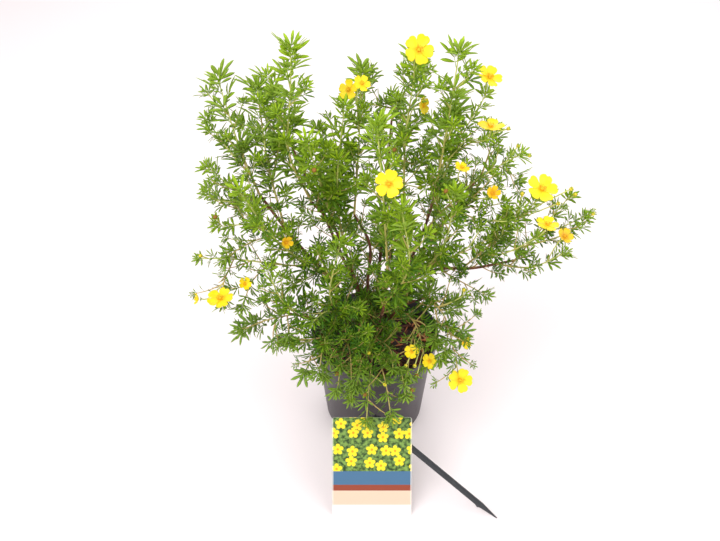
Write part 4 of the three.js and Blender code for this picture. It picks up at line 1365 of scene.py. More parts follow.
SPRAYS: tuple[Spray, ...] = (
    Spray("spray_left_tip", "left", 1, (
        Shoot(((-160, 25, 408), (-182, 60, 474)), 26),
        Shoot(((-176, 34, 402), (-200, 58, 425)), 20, 0.17),
    )),
    Spray("spray_left_high", "left", 0.83, (
        Shoot(((-128, 18, 395), (-138, 60, 464)), 26),
        Shoot(((-114, 32, 420), (-119, 52, 464)), 21, 0.34),
    )),
    Spray("spray_left_tallest", "inner_left", 1, (
        Shoot(((-101, 8, 409), (-96, 18, 490), (-94, 20, 531)), 27),
    )),
    Spray("spray_left_inner", "inner_left", 0.79, (
        Shoot(((-64, -15, 380), (-76, -45, 455)), 25),
    ), (
        Head(SPENT, (-69, -60, 431), 0.6),
    )),
    Spray("spray_centre_left", "inner_left", 0.65, (
        Shoot(((-48, 22, 350), (-38, 28, 456)), 24),
        Shoot(((-46, -15, 380), (-44, -34, 425)), 21, 0.3),
    ), fillers=(
        Shoot(((-58, 40, 380), (-70, 60, 412)), 20, 0.35),
    )),
    Spray("spray_centre_tall", "centre", 1, (
        Shoot(((-22, 38, 395), (-18, 70, 480)), 24),
    ), (
        Head(BLOOM, (-33, 60, 464), 0.72, (-0.4, -0.7, 0.6), 24),
        Head(BLOOM, (-18, 40, 482), 0.6, (0.3, -0.6, 0.75), 20),
    )),
    Spray("spray_front_tall", "front", 1, (
        Shoot(((6, -68, 390), (-2, -50, 476)), 27),
    )),
    Spray("spray_right_centre_tall", "right_centre", 1, (
        Shoot(((33, 28, 425), (44, 50, 507)), 27),
    ), (
        Head(BLOOM, (43, 28, 528), 0.86, (0.2, -0.8, 0.55), 33),
        Head(BLOOM, (51, 24, 463), 0.5, (0.8, -0.5, 0.3), 20),
        Head(SPENT, (19, 2, 419), 0.28),
    ), fillers=(
        Shoot(((44, 26, 385), (55, 30, 402)), 20, 0.3),
    ), extras=(
        Head(BUD, (50, 0, 369), 0.12),
    )),
    Spray("spray_right_tall", "right", 1, (
        Shoot(((78, 10, 445), (86, 20, 525)), 27),
    ), fillers=(
        Shoot(((64, -10, 380), (56, -20, 385)), 20, 0.08),
    )),
    Spray("spray_right_high", "right", 0.83, (
        Shoot(((92, 20, 415), (122, 36, 470)), 18),
        Shoot(((108, 14, 422), (126, 10, 428)), 15, 0.52),
    ), (
        Head(BLOOM, (124, 38, 491), 1, (0.3, -0.45, 0.85), 29),
        Head(BLOOM, (127, 10, 444), 1, (0, 0.1, 1), 31, 1),
    ), extras=(
        Head(BUD, (152, 36, 427), 0.6),
    )),
    Spray("spray_right_upper", "right", 0.76, (
        Shoot(((112, 2, 375), (162, 0, 415)), 18),
        Shoot(((116, -18, 366), (126, -26, 372)), 15, 0.45),
        Shoot(((118, -30, 345), (150, -44, 352)), 16, 0.3),
    ), (
        Head(BLOOM, (129, -36, 385), 1, (0.1, -0.7, 0.7), 16, 1, faded=True),
        Head(BLOOM, (95, -14, 405), 0.5, (0.3, -0.1, 0.95), 18),
    ), fillers=(
        Shoot(((120, 2, 366), (142, 5, 372)), 16, 0.4),
        Shoot(((124, -14, 352), (145, -20, 361)), 16, 0.3),
    ), extras=(
        Head(BUD, (169, 20, 404), 0.93), Head(BUD, (163, 22, 412), 0.88), Head(BUD, (174, 8, 408), 0.97),
    )),
    Spray("spray_right_bloom", "right_low", 0.75, (
        Shoot(((150, -18, 315), (184, -28, 372)), 18),
        Shoot(((150, -46, 308), (182, -56, 338)), 15, 0.23),
    ), (
        Head(BLOOM, (185, -30, 387), 1, (0.15, -0.4, 0.9), 36),
        Head(BLOOM, (191, -56, 356), 1, (0.1, 0, 1), 27, 1),
    ), fillers=(
        Shoot(((150, -26, 334), (165, -34, 364)), 15, 0.35),
        Shoot(((146, -30, 322), (150, -26, 352)), 16, 0.3),
    ), extras=(
        Head(BUD, (163, -34, 383), 0.7), Head(BUD, (207, -28, 366), 0.75), Head(BUD, (219, -28, 386), 0.85),
    )),
    Spray("spray_right_far", "right_low", 1, (
        Shoot(((204, 4, 312), (226, 0, 355)), 16),
        Shoot(((225, -8, 306), (250, -10, 328)), 15, 0.23),
    ), fillers=(
        Shoot(((228, -4, 318), (247, -8, 334)), 15, 0.35),
    ), extras=(
        Head(BUD, (230, -10, 366), 0.95), Head(BUD, (257, -6, 336), 0.95, stem=1),
    )),
    Spray("spray_right_outer", "right_low", 0.91, (
        Shoot(((188, -32, 276), (222, -38, 302)), 16),
    ), (
        Head(BLOOM, (216, -46, 332), 0.75, (0.3, -0.4, 0.85), 20, faded=True),
    )),
    Spray("spray_right_low", "right_low", 0.64, (
        Shoot(((112, -16, 236), (138, -20, 222)), 16),
    )),
    Spray("spray_front_right", "front_right", 1, (
        Shoot(((80, -66, 232), (96, -90, 185), (103, -100, 150)), 14),
        Shoot(((100, -74, 208), (106, -68, 198)), 15, 0.39),
        Shoot(((92, -62, 247), (106, -60, 256)), 13, 0.16),
    ), (
        Head(BLOOM, (103, -104, 155), 1, (0.1, -0.8, 0.55), 31),
        Head(BLOOM, (108, -75, 191), 1, (0.6, -0.6, 0.5), 16, 1),
    ), fillers=(
        Shoot(((80, -56, 228), (102, -40, 217)), 17, 0.1),
        Shoot(((66, -30, 228), (69, -10, 213)), 18, 0.05),
        Shoot(((86, -84, 214), (82, -98, 200)), 17, 0.3),
        Shoot(((74, -74, 218), (70, -92, 212)), 17, 0.12),
    ), extras=(
        Head(BUD, (103, -66, 268), 0.9, stem=2),
    )),
    Spray("spray_rim_right", "front_right", 0.67, (
        Shoot(((50, -66, 208), (62, -88, 166)), 15),
        Shoot(((58, -66, 214), (74, -80, 196)), 14, 0.33),
    ), (
        Head(BLOOM, (65, -92, 176), 0.9, (0.35, -0.6, 0.7), 20),
        Head(BLOOM, (43, -88, 188), 0.5, (-0.1, -0.5, 0.85), 18),
        Head(SPENT, (50, -101, 160), 0.8),
    ), fillers=(
        Shoot(((66, -70, 196), (80, -84, 173)), 16, 0.3),
        Shoot(((42, -80, 190), (38, -104, 160)), 14, 0.45),
    ), extras=(
        Head(BUD, (47, -98, 174), 0.7), Head(BUD, (36, -98, 174), 0.6),
    )),
    Spray("spray_rim_front", "front", 0.28, (
        Shoot(((-4, -78, 176), (-9, -112, 148), (-12, -134, 116)), 15),
        Shoot(((-26, -100, 160), (-32, -118, 134)), 14, 0.38),
        Shoot(((26, -92, 176), (36, -116, 142)), 15, 0.24),
    ), (
        Head(SPENT, (-14, -120, 146), 0.75),
        Head(SPENT, (44, -118, 152), 0.85, stem=2),
    ), fillers=(
        Shoot(((-18, -92, 176), (-24, -112, 152)), 15, 0.3),
        Shoot(((8, -100, 166), (14, -120, 146), (18, -134, 120)), 15, 0.36),
        Shoot(((18, -84, 186), (20, -104, 176)), 15, 0.2),
    ), extras=(
        Head(SPENT, (43, -114, 134), 0.8, stem=2), Head(BUD, (10, -118, 162), 0.6),
        Head(BUD, (-9, -96, 194), 0.35),
    )),
    Spray("spray_rim_front_left", "front_left", 0.32, (
        Shoot(((-40, -78, 182), (-48, -108, 142)), 16),
        Shoot(((-18, -80, 208), (-12, -94, 226)), 16, 0.34),
    ), fillers=(
        Shoot(((-52, -82, 186), (-64, -100, 156)), 15, 0.3),
        Shoot(((-32, -88, 184), (-30, -110, 146)), 15, 0.42),
        Shoot(((-24, -72, 196), (-10, -86, 196)), 16, 0.25),
    ), extras=(
        Head(SPENT, (-48, -103, 165), 0.7), Head(SPENT, (-66, -92, 206), 0.4),
    )),
    Spray("spray_rim_left", "front_left", 0.53, (
        Shoot(((-74, -74, 184), (-88, -88, 154)), 16),
        Shoot(((-84, -86, 204), (-94, -102, 212)), 16, 0.3),
    ), fillers=(
        Shoot(((-66, -84, 188), (-70, -100, 164)), 15, 0.3),
        Shoot(((-62, -80, 206), (-62, -98, 212)), 17, 0.15),
    )),
    Spray("spray_left_low", "front_left", 0.94, (
        Shoot(((-138, -70, 222), (-164, -62, 200)), 18),
        Shoot(((-126, -78, 206), (-122, -74, 184)), 15, 0.28),
    ), fillers=(
        Shoot(((-106, -82, 226), (-104, -94, 212)), 18, 0.1),
    )),
    Spray("spray_left_bloom", "left", 0.58, (
        Shoot(((-112, -38, 284), (-165, -50, 302), (-212, -32, 289)), 14),
        Shoot(((-180, -68, 280), (-181, -86, 262)), 13, 0.7),
        Shoot(((-148, -64, 278), (-158, -84, 256)), 15, 0.44),
    ), (
        Head(BLOOM, (-181, -93, 278), 1, (-0.05, -0.1, 1), 31, 1),
        Head(BLOOM, (-154, -74, 284), 0.5, (0.2, -0.6, 0.75), 15, 2),
        Head(BLOOM, (-208, -84, 270), 0.5, (-0.9, -0.3, 0.3), 13, 1),
    ), extras=(
        Head(BUD, (-207, -46, 304), 0.92),
    )),
    Spray("spray_left_side", "left", 0.7, (
        Shoot(((-142, -22, 330), (-186, -34, 338)), 18),
        Shoot(((-150, -40, 318), (-176, -58, 310)), 16, 0.35),
    ), (
        Head(SPENT, (-185, -42, 357), 0.95),
    ), fillers=(
        Shoot(((-172, -6, 350), (-200, 8, 363)), 18, 0.4),
    )),
    Spray("spray_left_outer", "left", 0.92, (
        Shoot(((-168, 2, 366), (-196, 8, 392)), 19),
        Shoot(((-178, -18, 362), (-198, -20, 372)), 16, 0.29),
    )),
    Spray("spray_left_front", "left", 0.5, (
        Shoot(((-112, -62, 335), (-146, -88, 420)), 21),
    ), (
        Head(BLOOM, (-104, -66, 339), 0.45, (0.4, -0.7, 0.5), 14, faded=True),
    ), fillers=(
        Shoot(((-92, -56, 272), (-99, -72, 281)), 18, 0.1),
    )),
    Spray("spray_front_left", "front_left", 0.75, (
        Shoot(((-106, -92, 268), (-122, -106, 328)), 19),
    )),
    Spray("spray_front_left_tall", "front_left", 0.36, (
        Shoot(((-55, -74, 262), (-42, -86, 352)), 21),
    ), fillers=(
        Shoot(((-62, -80, 246), (-74, -98, 248)), 17, 0.35),
        Shoot(((-34, -74, 250), (-22, -88, 258)), 17, 0.35),
    )),
    Spray("spray_front_centre", "front", 0.7, (
        Shoot(((34, -100, 330), (24, -108, 410)), 24),
    ), (
        Head(BLOOM, (10, -92, 434), 0.9, (-0.15, -0.75, 0.6), 30),
    )),
    Spray("spray_front_right_tall", "right_low", 0.47, (
        Shoot(((76, -50, 320), (84, -64, 402)), 21),
        Shoot(((104, -50, 318), (118, -48, 345)), 17, 0.3),
    ), (
        Head(SPENT, (72, -72, 412), 0.9),
    )),
    Spray("spray_back_left", "back_left", 1, (
        Shoot(((-122, 122, 410), (-132, 122, 448)), 24),
        Shoot(((-146, 124, 378), (-170, 120, 385)), 20, 0.24),
    )),
    Spray("spray_back_centre", "back", 1, (
        Shoot(((34, 128, 422), (48, 128, 458)), 24),
        Shoot(((-12, 136, 408), (-34, 138, 418)), 20, 0.22),
    )),
    Spray("spray_back_right", "back_right", 1, (
        Shoot(((148, 120, 346), (152, 122, 376)), 21),
        Shoot(((168, 118, 322), (186, 112, 310)), 18, 0.18),
    )),
    Spray("spray_back_right_mid", "back_right", 0.59, (
        Shoot(((88, 104, 340), (98, 112, 428)), 21),
        Shoot(((92, 128, 290), (100, 146, 270)), 18, 0.3),
    )),
    Spray("spray_back_low", "back", 0.34, (
        Shoot(((12, 90, 232), (14, 128, 230)), 18),
        Shoot(((-48, 104, 242), (-96, 118, 248)), 19, 0.34),
    )),
)


# Sub-assemblies


@dataclass
class NurseryPot:
    """The moulded pot; sizes in millimetres."""

    height: float = 140.0
    rim: float = 85.0
    collar: float = 82.0
    collar_bottom: float = 113.0
    wall_top: float = 77.5
    base: float = 67.3
    wall: float = 1.8
    floor: float = 2.4
    holes: int = 8
    hole_radius: float = 4.0
    hole_circle: float = 54.0
    hole_sides: int = 20
    drill_from: float = -4.0
    drill_to: float = 8.0
    segments: int = 112
    sharp_degrees: float = 38.0

    @property
    def slope(self) -> float:
        """How far the wall leans out for each millimetre of height."""
        return (self.wall_top - self.base) / self.collar_bottom

    def build(self) -> Shape:
        """Turns the pot and drills its drain holes.

        Returns:
            The pot.
        """
        base, step, collar, rim, top = self.base, self.collar_bottom, self.collar, self.rim, self.height
        foot = [(0, 1.0), (base - 9, 1.0), (base - 7.5, 0), (base - 1.8, 0), (base - 0.4, 0.5), (base, 1.8)]
        shoulder = [(self.wall_top - 0.1, step - 1.2), (self.wall_top + 0.5, step - 0.2),
                    (collar - 0.8, step + 0.5), (collar, step + 1.4)]
        lip = [(rim - 0.8, top - 2.4), (rim - 0.1, top - 1.6), (rim, top - 0.7), (rim - 0.6, top),
               (rim - self.wall, top), (rim - self.wall - 0.5, top - 0.6)]
        inside = [(collar - self.wall, step + 3), (self.wall_top - self.wall, step - 2),
                  (base + self.slope * self.floor - self.wall, self.floor), (0, self.floor)]
        pot = lathe("pot_turned", foot + shoulder + lip + inside, self.segments)
        cutter = self._drills()
        carved(pot, cutter)
        whole = applied(pot, "moulded_pot")
        bpy.data.objects.remove(cutter)
        whole.data.polygons.foreach_set("use_smooth", [True] * len(whole.data.polygons))
        whole.data.set_sharp_from_angle(angle=math.radians(self.sharp_degrees))
        return whole

    def _drills(self) -> Shape:
        """Makes the drills of the drain holes.

        Returns:
            All of them as one object.
        """
        drills = []
        low, high, radius = self.drill_from, self.drill_to, self.hole_radius
        outline = [(0, low), (radius, low), (radius, high), (0, high)]
        for hole in range(self.holes):
            angle = 2 * math.pi * (hole + 0.5) / self.holes
            drill = lathe("drill", outline, self.hole_sides)
            offset = Vector((math.cos(angle), math.sin(angle), 0)) * self.hole_circle * MM
            drill.data.transform(Matrix.Translation(offset))
            drills.append(drill)
        return joined("drills", drills)

    def dress(self, pot: Shape) -> None:
        """Gives the pot its plastic.

        Args:
            pot: The pot.
        """
        pot.data.materials.clear()
        pot.data.materials.append(PotFinish().material())
        dressed(pot, ["pot"])


@dataclass
class MulchBed:
    """The potting mix and its cover of bark chips; sizes in millimetres."""

    pot: NurseryPot
    level: float = 123.0
    relief: float = 2.4
    crumb: float = 0.7
    gap: float = 0.3
    shoulder: float = 4.0
    row_shares: tuple[float, ...] = (
        0.985, 0.94, 0.88, 0.81, 0.74, 0.67, 0.6, 0.53, 0.46, 0.39, 0.32, 0.25, 0.18,
    )
    chips: int = 420
    chip_share: float = 0.8
    chip_lengths: Flat = (5, 13)
    splinter_lengths: Flat = (13, 23)
    chip_girths: tuple[Flat, ...] = ((0.3, 0.12), (0.17, 0.1), (0.42, 0.09))
    chip_rings: tuple[Flat, ...] = ((-0.5, 0.45), (-0.36, 0.9), (-0.05, 1.0), (0.3, 0.92), (0.5, 0.38))
    chip_bend: float = 0.1
    segments: int = 96

    def height(self, x: float, y: float) -> float:
        """Height of the mix under a point, in millimetres."""
        waves = math.sin(x / 11 + 0.6) * math.cos(y / 13) + 0.5 * math.sin((x + 2 * y) / 9)
        return self.level + self.relief * waves

    def build(self) -> Shape:
        """Makes the body of the mix and scatters the chips.

        Returns:
            The bed.
        """
        pot = self.pot
        bottom = pot.floor + self.gap
        lean = (pot.rim - pot.collar) / (pot.height - pot.collar_bottom)
        top = self.level - self.shoulder
        side = [
            (pot.base + pot.slope * bottom - pot.wall - 2 * self.gap, bottom),
            (pot.wall_top - pot.wall - 2 * self.gap, pot.collar_bottom - 2),
            (pot.collar - pot.wall - 2 * self.gap, pot.collar_bottom + 3 + self.gap),
            (pot.collar - pot.wall - 2 * self.gap + lean * (top - pot.collar_bottom - 3), top),
        ]
        sheet = Sheet()
        rows = [[sheet.point(Vector((0, 0, bottom)) * MM)]]
        draws = random.Random(41)
        for radius, height in side + [(side[-1][0] * share, None) for share in self.row_shares]:
            row = []
            for i in range(self.segments):
                angle = 2 * math.pi * i / self.segments
                x, y = radius * math.cos(angle), radius * math.sin(angle)
                z = height
                if height is None:
                    z = self.height(x, y) + draws.uniform(-self.crumb, self.crumb)
                row.append(sheet.point(Vector((x, y, z)) * MM))
            rows.append(row)
        rows.append([sheet.point(Vector((0, 0, self.height(0, 0))) * MM)])
        sheet.skin(rows, self.segments)
        body = sheet.build("mix_body")
        outward(body)
        body.data.materials.append(SoilFinish().material())
        return joined("bark_mulch_bed", [body, self._scatter()])

    def _shapes(self) -> bpy.types.Collection:
        """Makes the chips' shapes, one unit long.

        Returns:
            A collection of them.
        """
        chips = []
        draws = random.Random(23)
        for number, (wide, thick) in enumerate(self.chip_girths):
            sheet = Sheet()
            rings = []
            for along, share in self.chip_rings:
                bend = self.chip_bend * along * along
                ring = [(-share, -0.6), (-0.8 * share, 0.7), (0.0, 1.0), (0.85 * share, 0.6), (share, -0.7)]
                rings.append((along, [
                    sheet.point(Vector((
                        along + draws.uniform(-0.03, 0.03),
                        wide / 2 * y * draws.uniform(0.85, 1.1),
                        thick / 2 * z * draws.uniform(0.8, 1.2) - bend,
                    ))) for y, z in ring]))
            count = len(rings[0][1])
            for (start, near), (end, far) in zip(rings, rings[1:]):
                for i in range(count):
                    j = (i + 1) % count
                    u0, u1 = i / count, (i + 1) / count
                    marks = ((u0, start), (u1, start), (u1, end), (u0, end))
                    sheet.face((near[i], near[j], far[j], far[i]), marks)
            sheet.face(rings[0][1][::-1], tuple((i / count, 0.0) for i in range(count)))
            sheet.face(rings[-1][1], tuple((i / count, 1.0) for i in range(count)))
            chip = sheet.build(f"chip_{number}", smooth=False)
            outward(chip)
            chips.append(chip)
        return stored("chip_shapes", chips)

    def _scatter(self) -> Shape:
        """Lays the chips over the mix by the golden angle, at seeded tilts.

        Returns:
            All chips as one object.
        """
        store = self._shapes()
        grower = Grower("chip_scatter", store, ChipFinish().material(), SoilFinish().material())
        bed = Skeleton()
        draws = random.Random(17)
        edge = self.pot.collar - self.pot.wall
        for i in range(self.chips):
            lengths = self.chip_lengths if draws.random() < self.chip_share else self.splinter_lengths
            size = draws.uniform(*lengths)
            radius = min(11 + (edge - 12) * math.sqrt((i + 0.5) / self.chips), edge - 1.5 - size * 0.52)
            angle = i * GOLDEN_ANGLE
            x, y = radius * math.cos(angle), radius * math.sin(angle)
            turn = (Quaternion((0, 0, 1), draws.uniform(0, math.tau))
                    @ Quaternion((0, 1, 0), draws.uniform(-0.4, 0.4))
                    @ Quaternion((1, 0, 0), draws.uniform(-0.7, 0.7)))
            place = Vector((x, y, self.height(x, y) + draws.uniform(0.2, 1.6))) * MM
            bed.site(place, turn, size * MM, draws.randrange(3), draws.random())
        chips = grower.grow(bed, "chips", 3, 5, 0.05)
        chips.data.polygons.foreach_set("use_smooth", [False] * len(chips.data.polygons))
        discard(store)
        return chips

    def dress(self, bed: Shape) -> None:
        """Hangs the bed on its body and hides the node that it stands for."""
        dressed(bed, ["potting_mix"])


@dataclass
class WoodyFramework:
    """Root crown and bark-covered stems; sizes in millimetres."""

    crown_radius: float = 11.0
    crown_bottom: float = 62.0
    crown_top: float = 134.0
    taper: float = 0.55
    sides: int = 12
    stretch: float = 6.0
    knot_step: float = 17.0
    knot_girth: Flat = (0.5, 0.42)
    routes: dict[str, Route] = field(default_factory=dict)

    def __post_init__(self) -> None:
        """Samples the way of each stem."""
        for name, stem in WOOD.items():
            self.routes[name] = Route([millimetres(point) for point in stem.route])

    def build(self) -> Shape:
        """Grows the stems with their knots and turns the crown.

        Returns:
            The framework.
        """
        sheet = Sheet()
        knob(sheet, Vector((0, 0, 0)), *self.knot_girth, 0.0)
        store = stored("knot_shapes", [sheet.build("knot_0")])
        bark = BarkFinish().material()
        grower = Grower("bark_stems_grower", store, bark, bark)
        skeleton = Skeleton()
        draws = random.Random(7)
        for name, stem in WOOD.items():
            route = self.routes[name]
            first, last = stem.radius * MM, stem.radius * self.taper * MM
            count = max(8, round(route.length / (self.stretch * MM)))
            skeleton.stem(route, first, last, count, (0.3, 0.5))
            for i in range(int(route.length / (self.knot_step * MM))):
                share = 0.12 + 0.86 * (i + draws.uniform(-0.2, 0.2)) * self.knot_step * MM / route.length
                radius = first + (last - first) * share
                way = route.direction(share)
                out = Quaternion(way, i * GOLDEN_ANGLE) @ way.orthogonal().normalized()
                skeleton.site(route.point(share) + out * radius * 0.75, way.to_track_quat("Z", "Y"),
                              radius * draws.uniform(1.0, 1.5), 0, 0.4)
        stems = grower.grow(skeleton, "stems", self.sides, 3, 0.1)
        discard(store)
        crown = lathe("crown", [
            (0, self.crown_bottom), (5, self.crown_bottom + 1), (8, 84), (self.crown_radius, 108),
            (self.crown_radius, 118), (self.crown_radius - 1, 126), (7.5, 131), (5, self.crown_top),
            (0, self.crown_top + 1),
        ], 28)
        for vertex in crown.data.vertices:
            angle = math.atan2(vertex.co.y, vertex.co.x)
            flute = 1 + 0.09 * math.sin(5 * angle + vertex.co.z * 90) + 0.05 * math.sin(11 * angle)
            vertex.co.x *= flute
            vertex.co.y *= flute
        crown.data.materials.append(bark)
        return joined("bark_stems", [stems, crown])

    def dress(self, stems: Shape) -> None:
        """Hangs the stems on their body and hides the node that they stand for."""
        dressed(stems, ["woody_framework"])


WHORL_CURL = 0.05
SEPALS = 5


class SprigShapes:
    """The leaves, calyces, spent heads and buds that sites carry, each one unit in size."""

    def __init__(self) -> None:
        """Makes the shapes in a collection, named in the order of Sprig."""
        makers: dict[Sprig, Callable[[Sheet], None]] = {
            Sprig.LEAF: lambda sheet: self._leaf(sheet, 0.2, True),
            Sprig.NARROW_LEAF: lambda sheet: self._leaf(sheet, 0.15, True),
            Sprig.SMALL_LEAF: lambda sheet: self._leaf(sheet, 0.22, False),
            Sprig.CALYX: self._calyx,
            Sprig.SPENT: self._spent,
            Sprig.BUD: self._bud,
        }
        shapes = []
        for sprig, maker in makers.items():
            sheet = Sheet()
            maker(sheet)
            shapes.append(sheet.build(f"sprig_{sprig.value}"))
        self.store = stored("sprig_shapes", shapes)

    @staticmethod
    def _leaf(sheet: Sheet, width: float, lower: bool) -> None:
        """Adds a pinnate leaf along X on its stalk.

        Args:
            sheet: Mesh that it joins.
            width: Width of a leaflet.
            lower: Whether it has a lower pair and so five leaflets, else three.
        """
        stalk, crotch = 0.3, 0.46
        rod(sheet, Vector((-0.03, 0, 0)), Vector((crotch, 0, 0.0)), 0.02, 0.013)
        pairs = [(crotch, 40, 0.9), (stalk, 74, 0.74)] if lower else [(crotch - 0.06, 52, 0.84)]
        leaflet(sheet, Matrix.Translation((crotch - 0.01, 0, 0)), 0.95, width, 0.14)
        for start, angle, length in pairs:
            for hand in (-1, 1):
                turn = Matrix.Rotation(hand * math.radians(angle), 4, "Z") @ Matrix.Rotation(-0.12, 4, "Y")
                leaflet(sheet, Matrix.Translation((start - 0.01, 0, 0)) @ turn, length, width, 0.18)

    @staticmethod
    def _whorl(sheet: Sheet, count: int, lift: float, length: float, width: float, turn: float,
               husk: float = 0.0) -> None:
        """Adds leaflets round Z.

        Args:
            sheet: Mesh that they join.
            count: How many.
            lift: Angle by which each is raised.
            length: Length.
            width: Width.
            turn: Angle of the first one round Z.
            husk: 0 for green tissue, up to 1 for other tissue.
        """
        for i in range(count):
            place = Matrix.Rotation(turn + 2 * math.pi * i / count, 4, "Z") @ Matrix.Rotation(-lift, 4, "Y")
            leaflet(sheet, place, length, width, WHORL_CURL, husk)

    def _calyx(self, sheet: Sheet) -> None:
        """Five broad sepals with five narrow bracts beneath, for a bloom one unit wide.

        Args:
            sheet: Mesh that they join.
        """
        self._whorl(sheet, SEPALS, 0.12, 0.27, 0.13, 0.6)
        self._whorl(sheet, SEPALS, -0.1, 0.22, 0.06, 0.0)
        knob(sheet, Vector((0, 0, -0.02)), 0.07, 0.05, 0.0, 6)

    def _spent(self, sheet: Sheet) -> None:
        """Sepals closed over a brown seed head.

        Args:
            sheet: Mesh that they join.
        """
        self._whorl(sheet, SEPALS, 0.75, 0.78, 0.34, 0.0, 0.28)
        self._whorl(sheet, SEPALS, 0.2, 0.6, 0.16, 0.6)
        knob(sheet, Vector((0, 0, 0.24)), 0.3, 0.26, 0.6)

    def _bud(self, sheet: Sheet) -> None:
        """A round yellow bud held by its sepals.

        Args:
            sheet: Mesh that they join.
        """
        self._whorl(sheet, SEPALS, 1.05, 0.72, 0.36, 0.0)
        knob(sheet, Vector((0, 0, 0.34)), 0.3, 0.34, 1.0)


def bloom_heads() -> list[Head]:
    """The heads that are blooms, in the order of the sprays."""
    return [head for plan in SPRAYS for head in plan.heads if head.kind is BLOOM]


@dataclass
class Surroundings:
    """What leaves keep clear of, and the box that they stay in."""

    pot: NurseryPot
    low: Vector
    high: Vector
    margin: float = 0.004
    gap_foot: Point = (46, -24, 124)
    gap_way: Point = (0, -0.63, 0.78)
    gap_length: float = 0.09
    gap_radius: float = 0.023
    behind_bloom: float = 0.002
    before_bloom: float = 0.022
    beside_bloom: float = 1.02
    over_floor: float = 0.004
    over_mix: float = 0.131
    card_across: float = 0.054
    card_along: Flat = (-0.002, 0.131)
    card_off: Flat = (-0.011, 0.004)
    discs: list[tuple[Vector, Vector, float]] = field(default_factory=list)

    def __post_init__(self) -> None:
        """Notes the middle, the facing and the reach of each bloom."""
        for head in bloom_heads():
            facing = Vector(head.face).normalized()
            self.discs.append((millimetres(head.at), facing, head.width * MM / 2))

    def shades_bloom(self, place: Vector) -> bool:
        """Looks for a bloom at or close behind a point.

        Args:
            place: The point.

        Returns:
            Whether there is one.
        """
        for middle, facing, reach in self.discs:
            offset = place - middle
            off = offset.dot(facing)
            beside = (offset - facing * off).length
            if -self.behind_bloom < off < self.before_bloom and beside < reach * self.beside_bloom:
                return True
        return False

    def in_gap(self, place: Vector) -> bool:
        """Looks whether a point lies in the natural gap over the mix, right of the middle.

        Args:
            place: The point.

        Returns:
            Whether it does.
        """
        offset, way = place - millimetres(self.gap_foot), Vector(self.gap_way)
        along = offset.dot(way)
        return 0 < along < self.gap_length and (offset - way * along).length < self.gap_radius

    def open_at(self, place: Vector) -> bool:
        """Looks whether a leaf may reach a point.

        Args:
            place: The point.

        Returns:
            Whether it is inside the box and clear of the pot, the mix, the label and the blooms.
        """
        if self.shades_bloom(place) or self.in_gap(place):
            return False
        for axis in range(3):
            if not self.low[axis] - self.margin < place[axis] < self.high[axis] + self.margin:
                return False
        if place.z < self.over_floor:
            return False
        radius = math.hypot(place.x, place.y)
        if place.z < self.pot.height * MM and radius < (self.pot.rim + 1) * MM:
            return radius < (self.pot.collar - 5) * MM and place.z > self.over_mix
        across, along, off = Label.locate(place)
        return not (abs(across) < self.card_across and self.card_along[0] < along < self.card_along[1]
                    and self.card_off[0] < off < self.card_off[1])


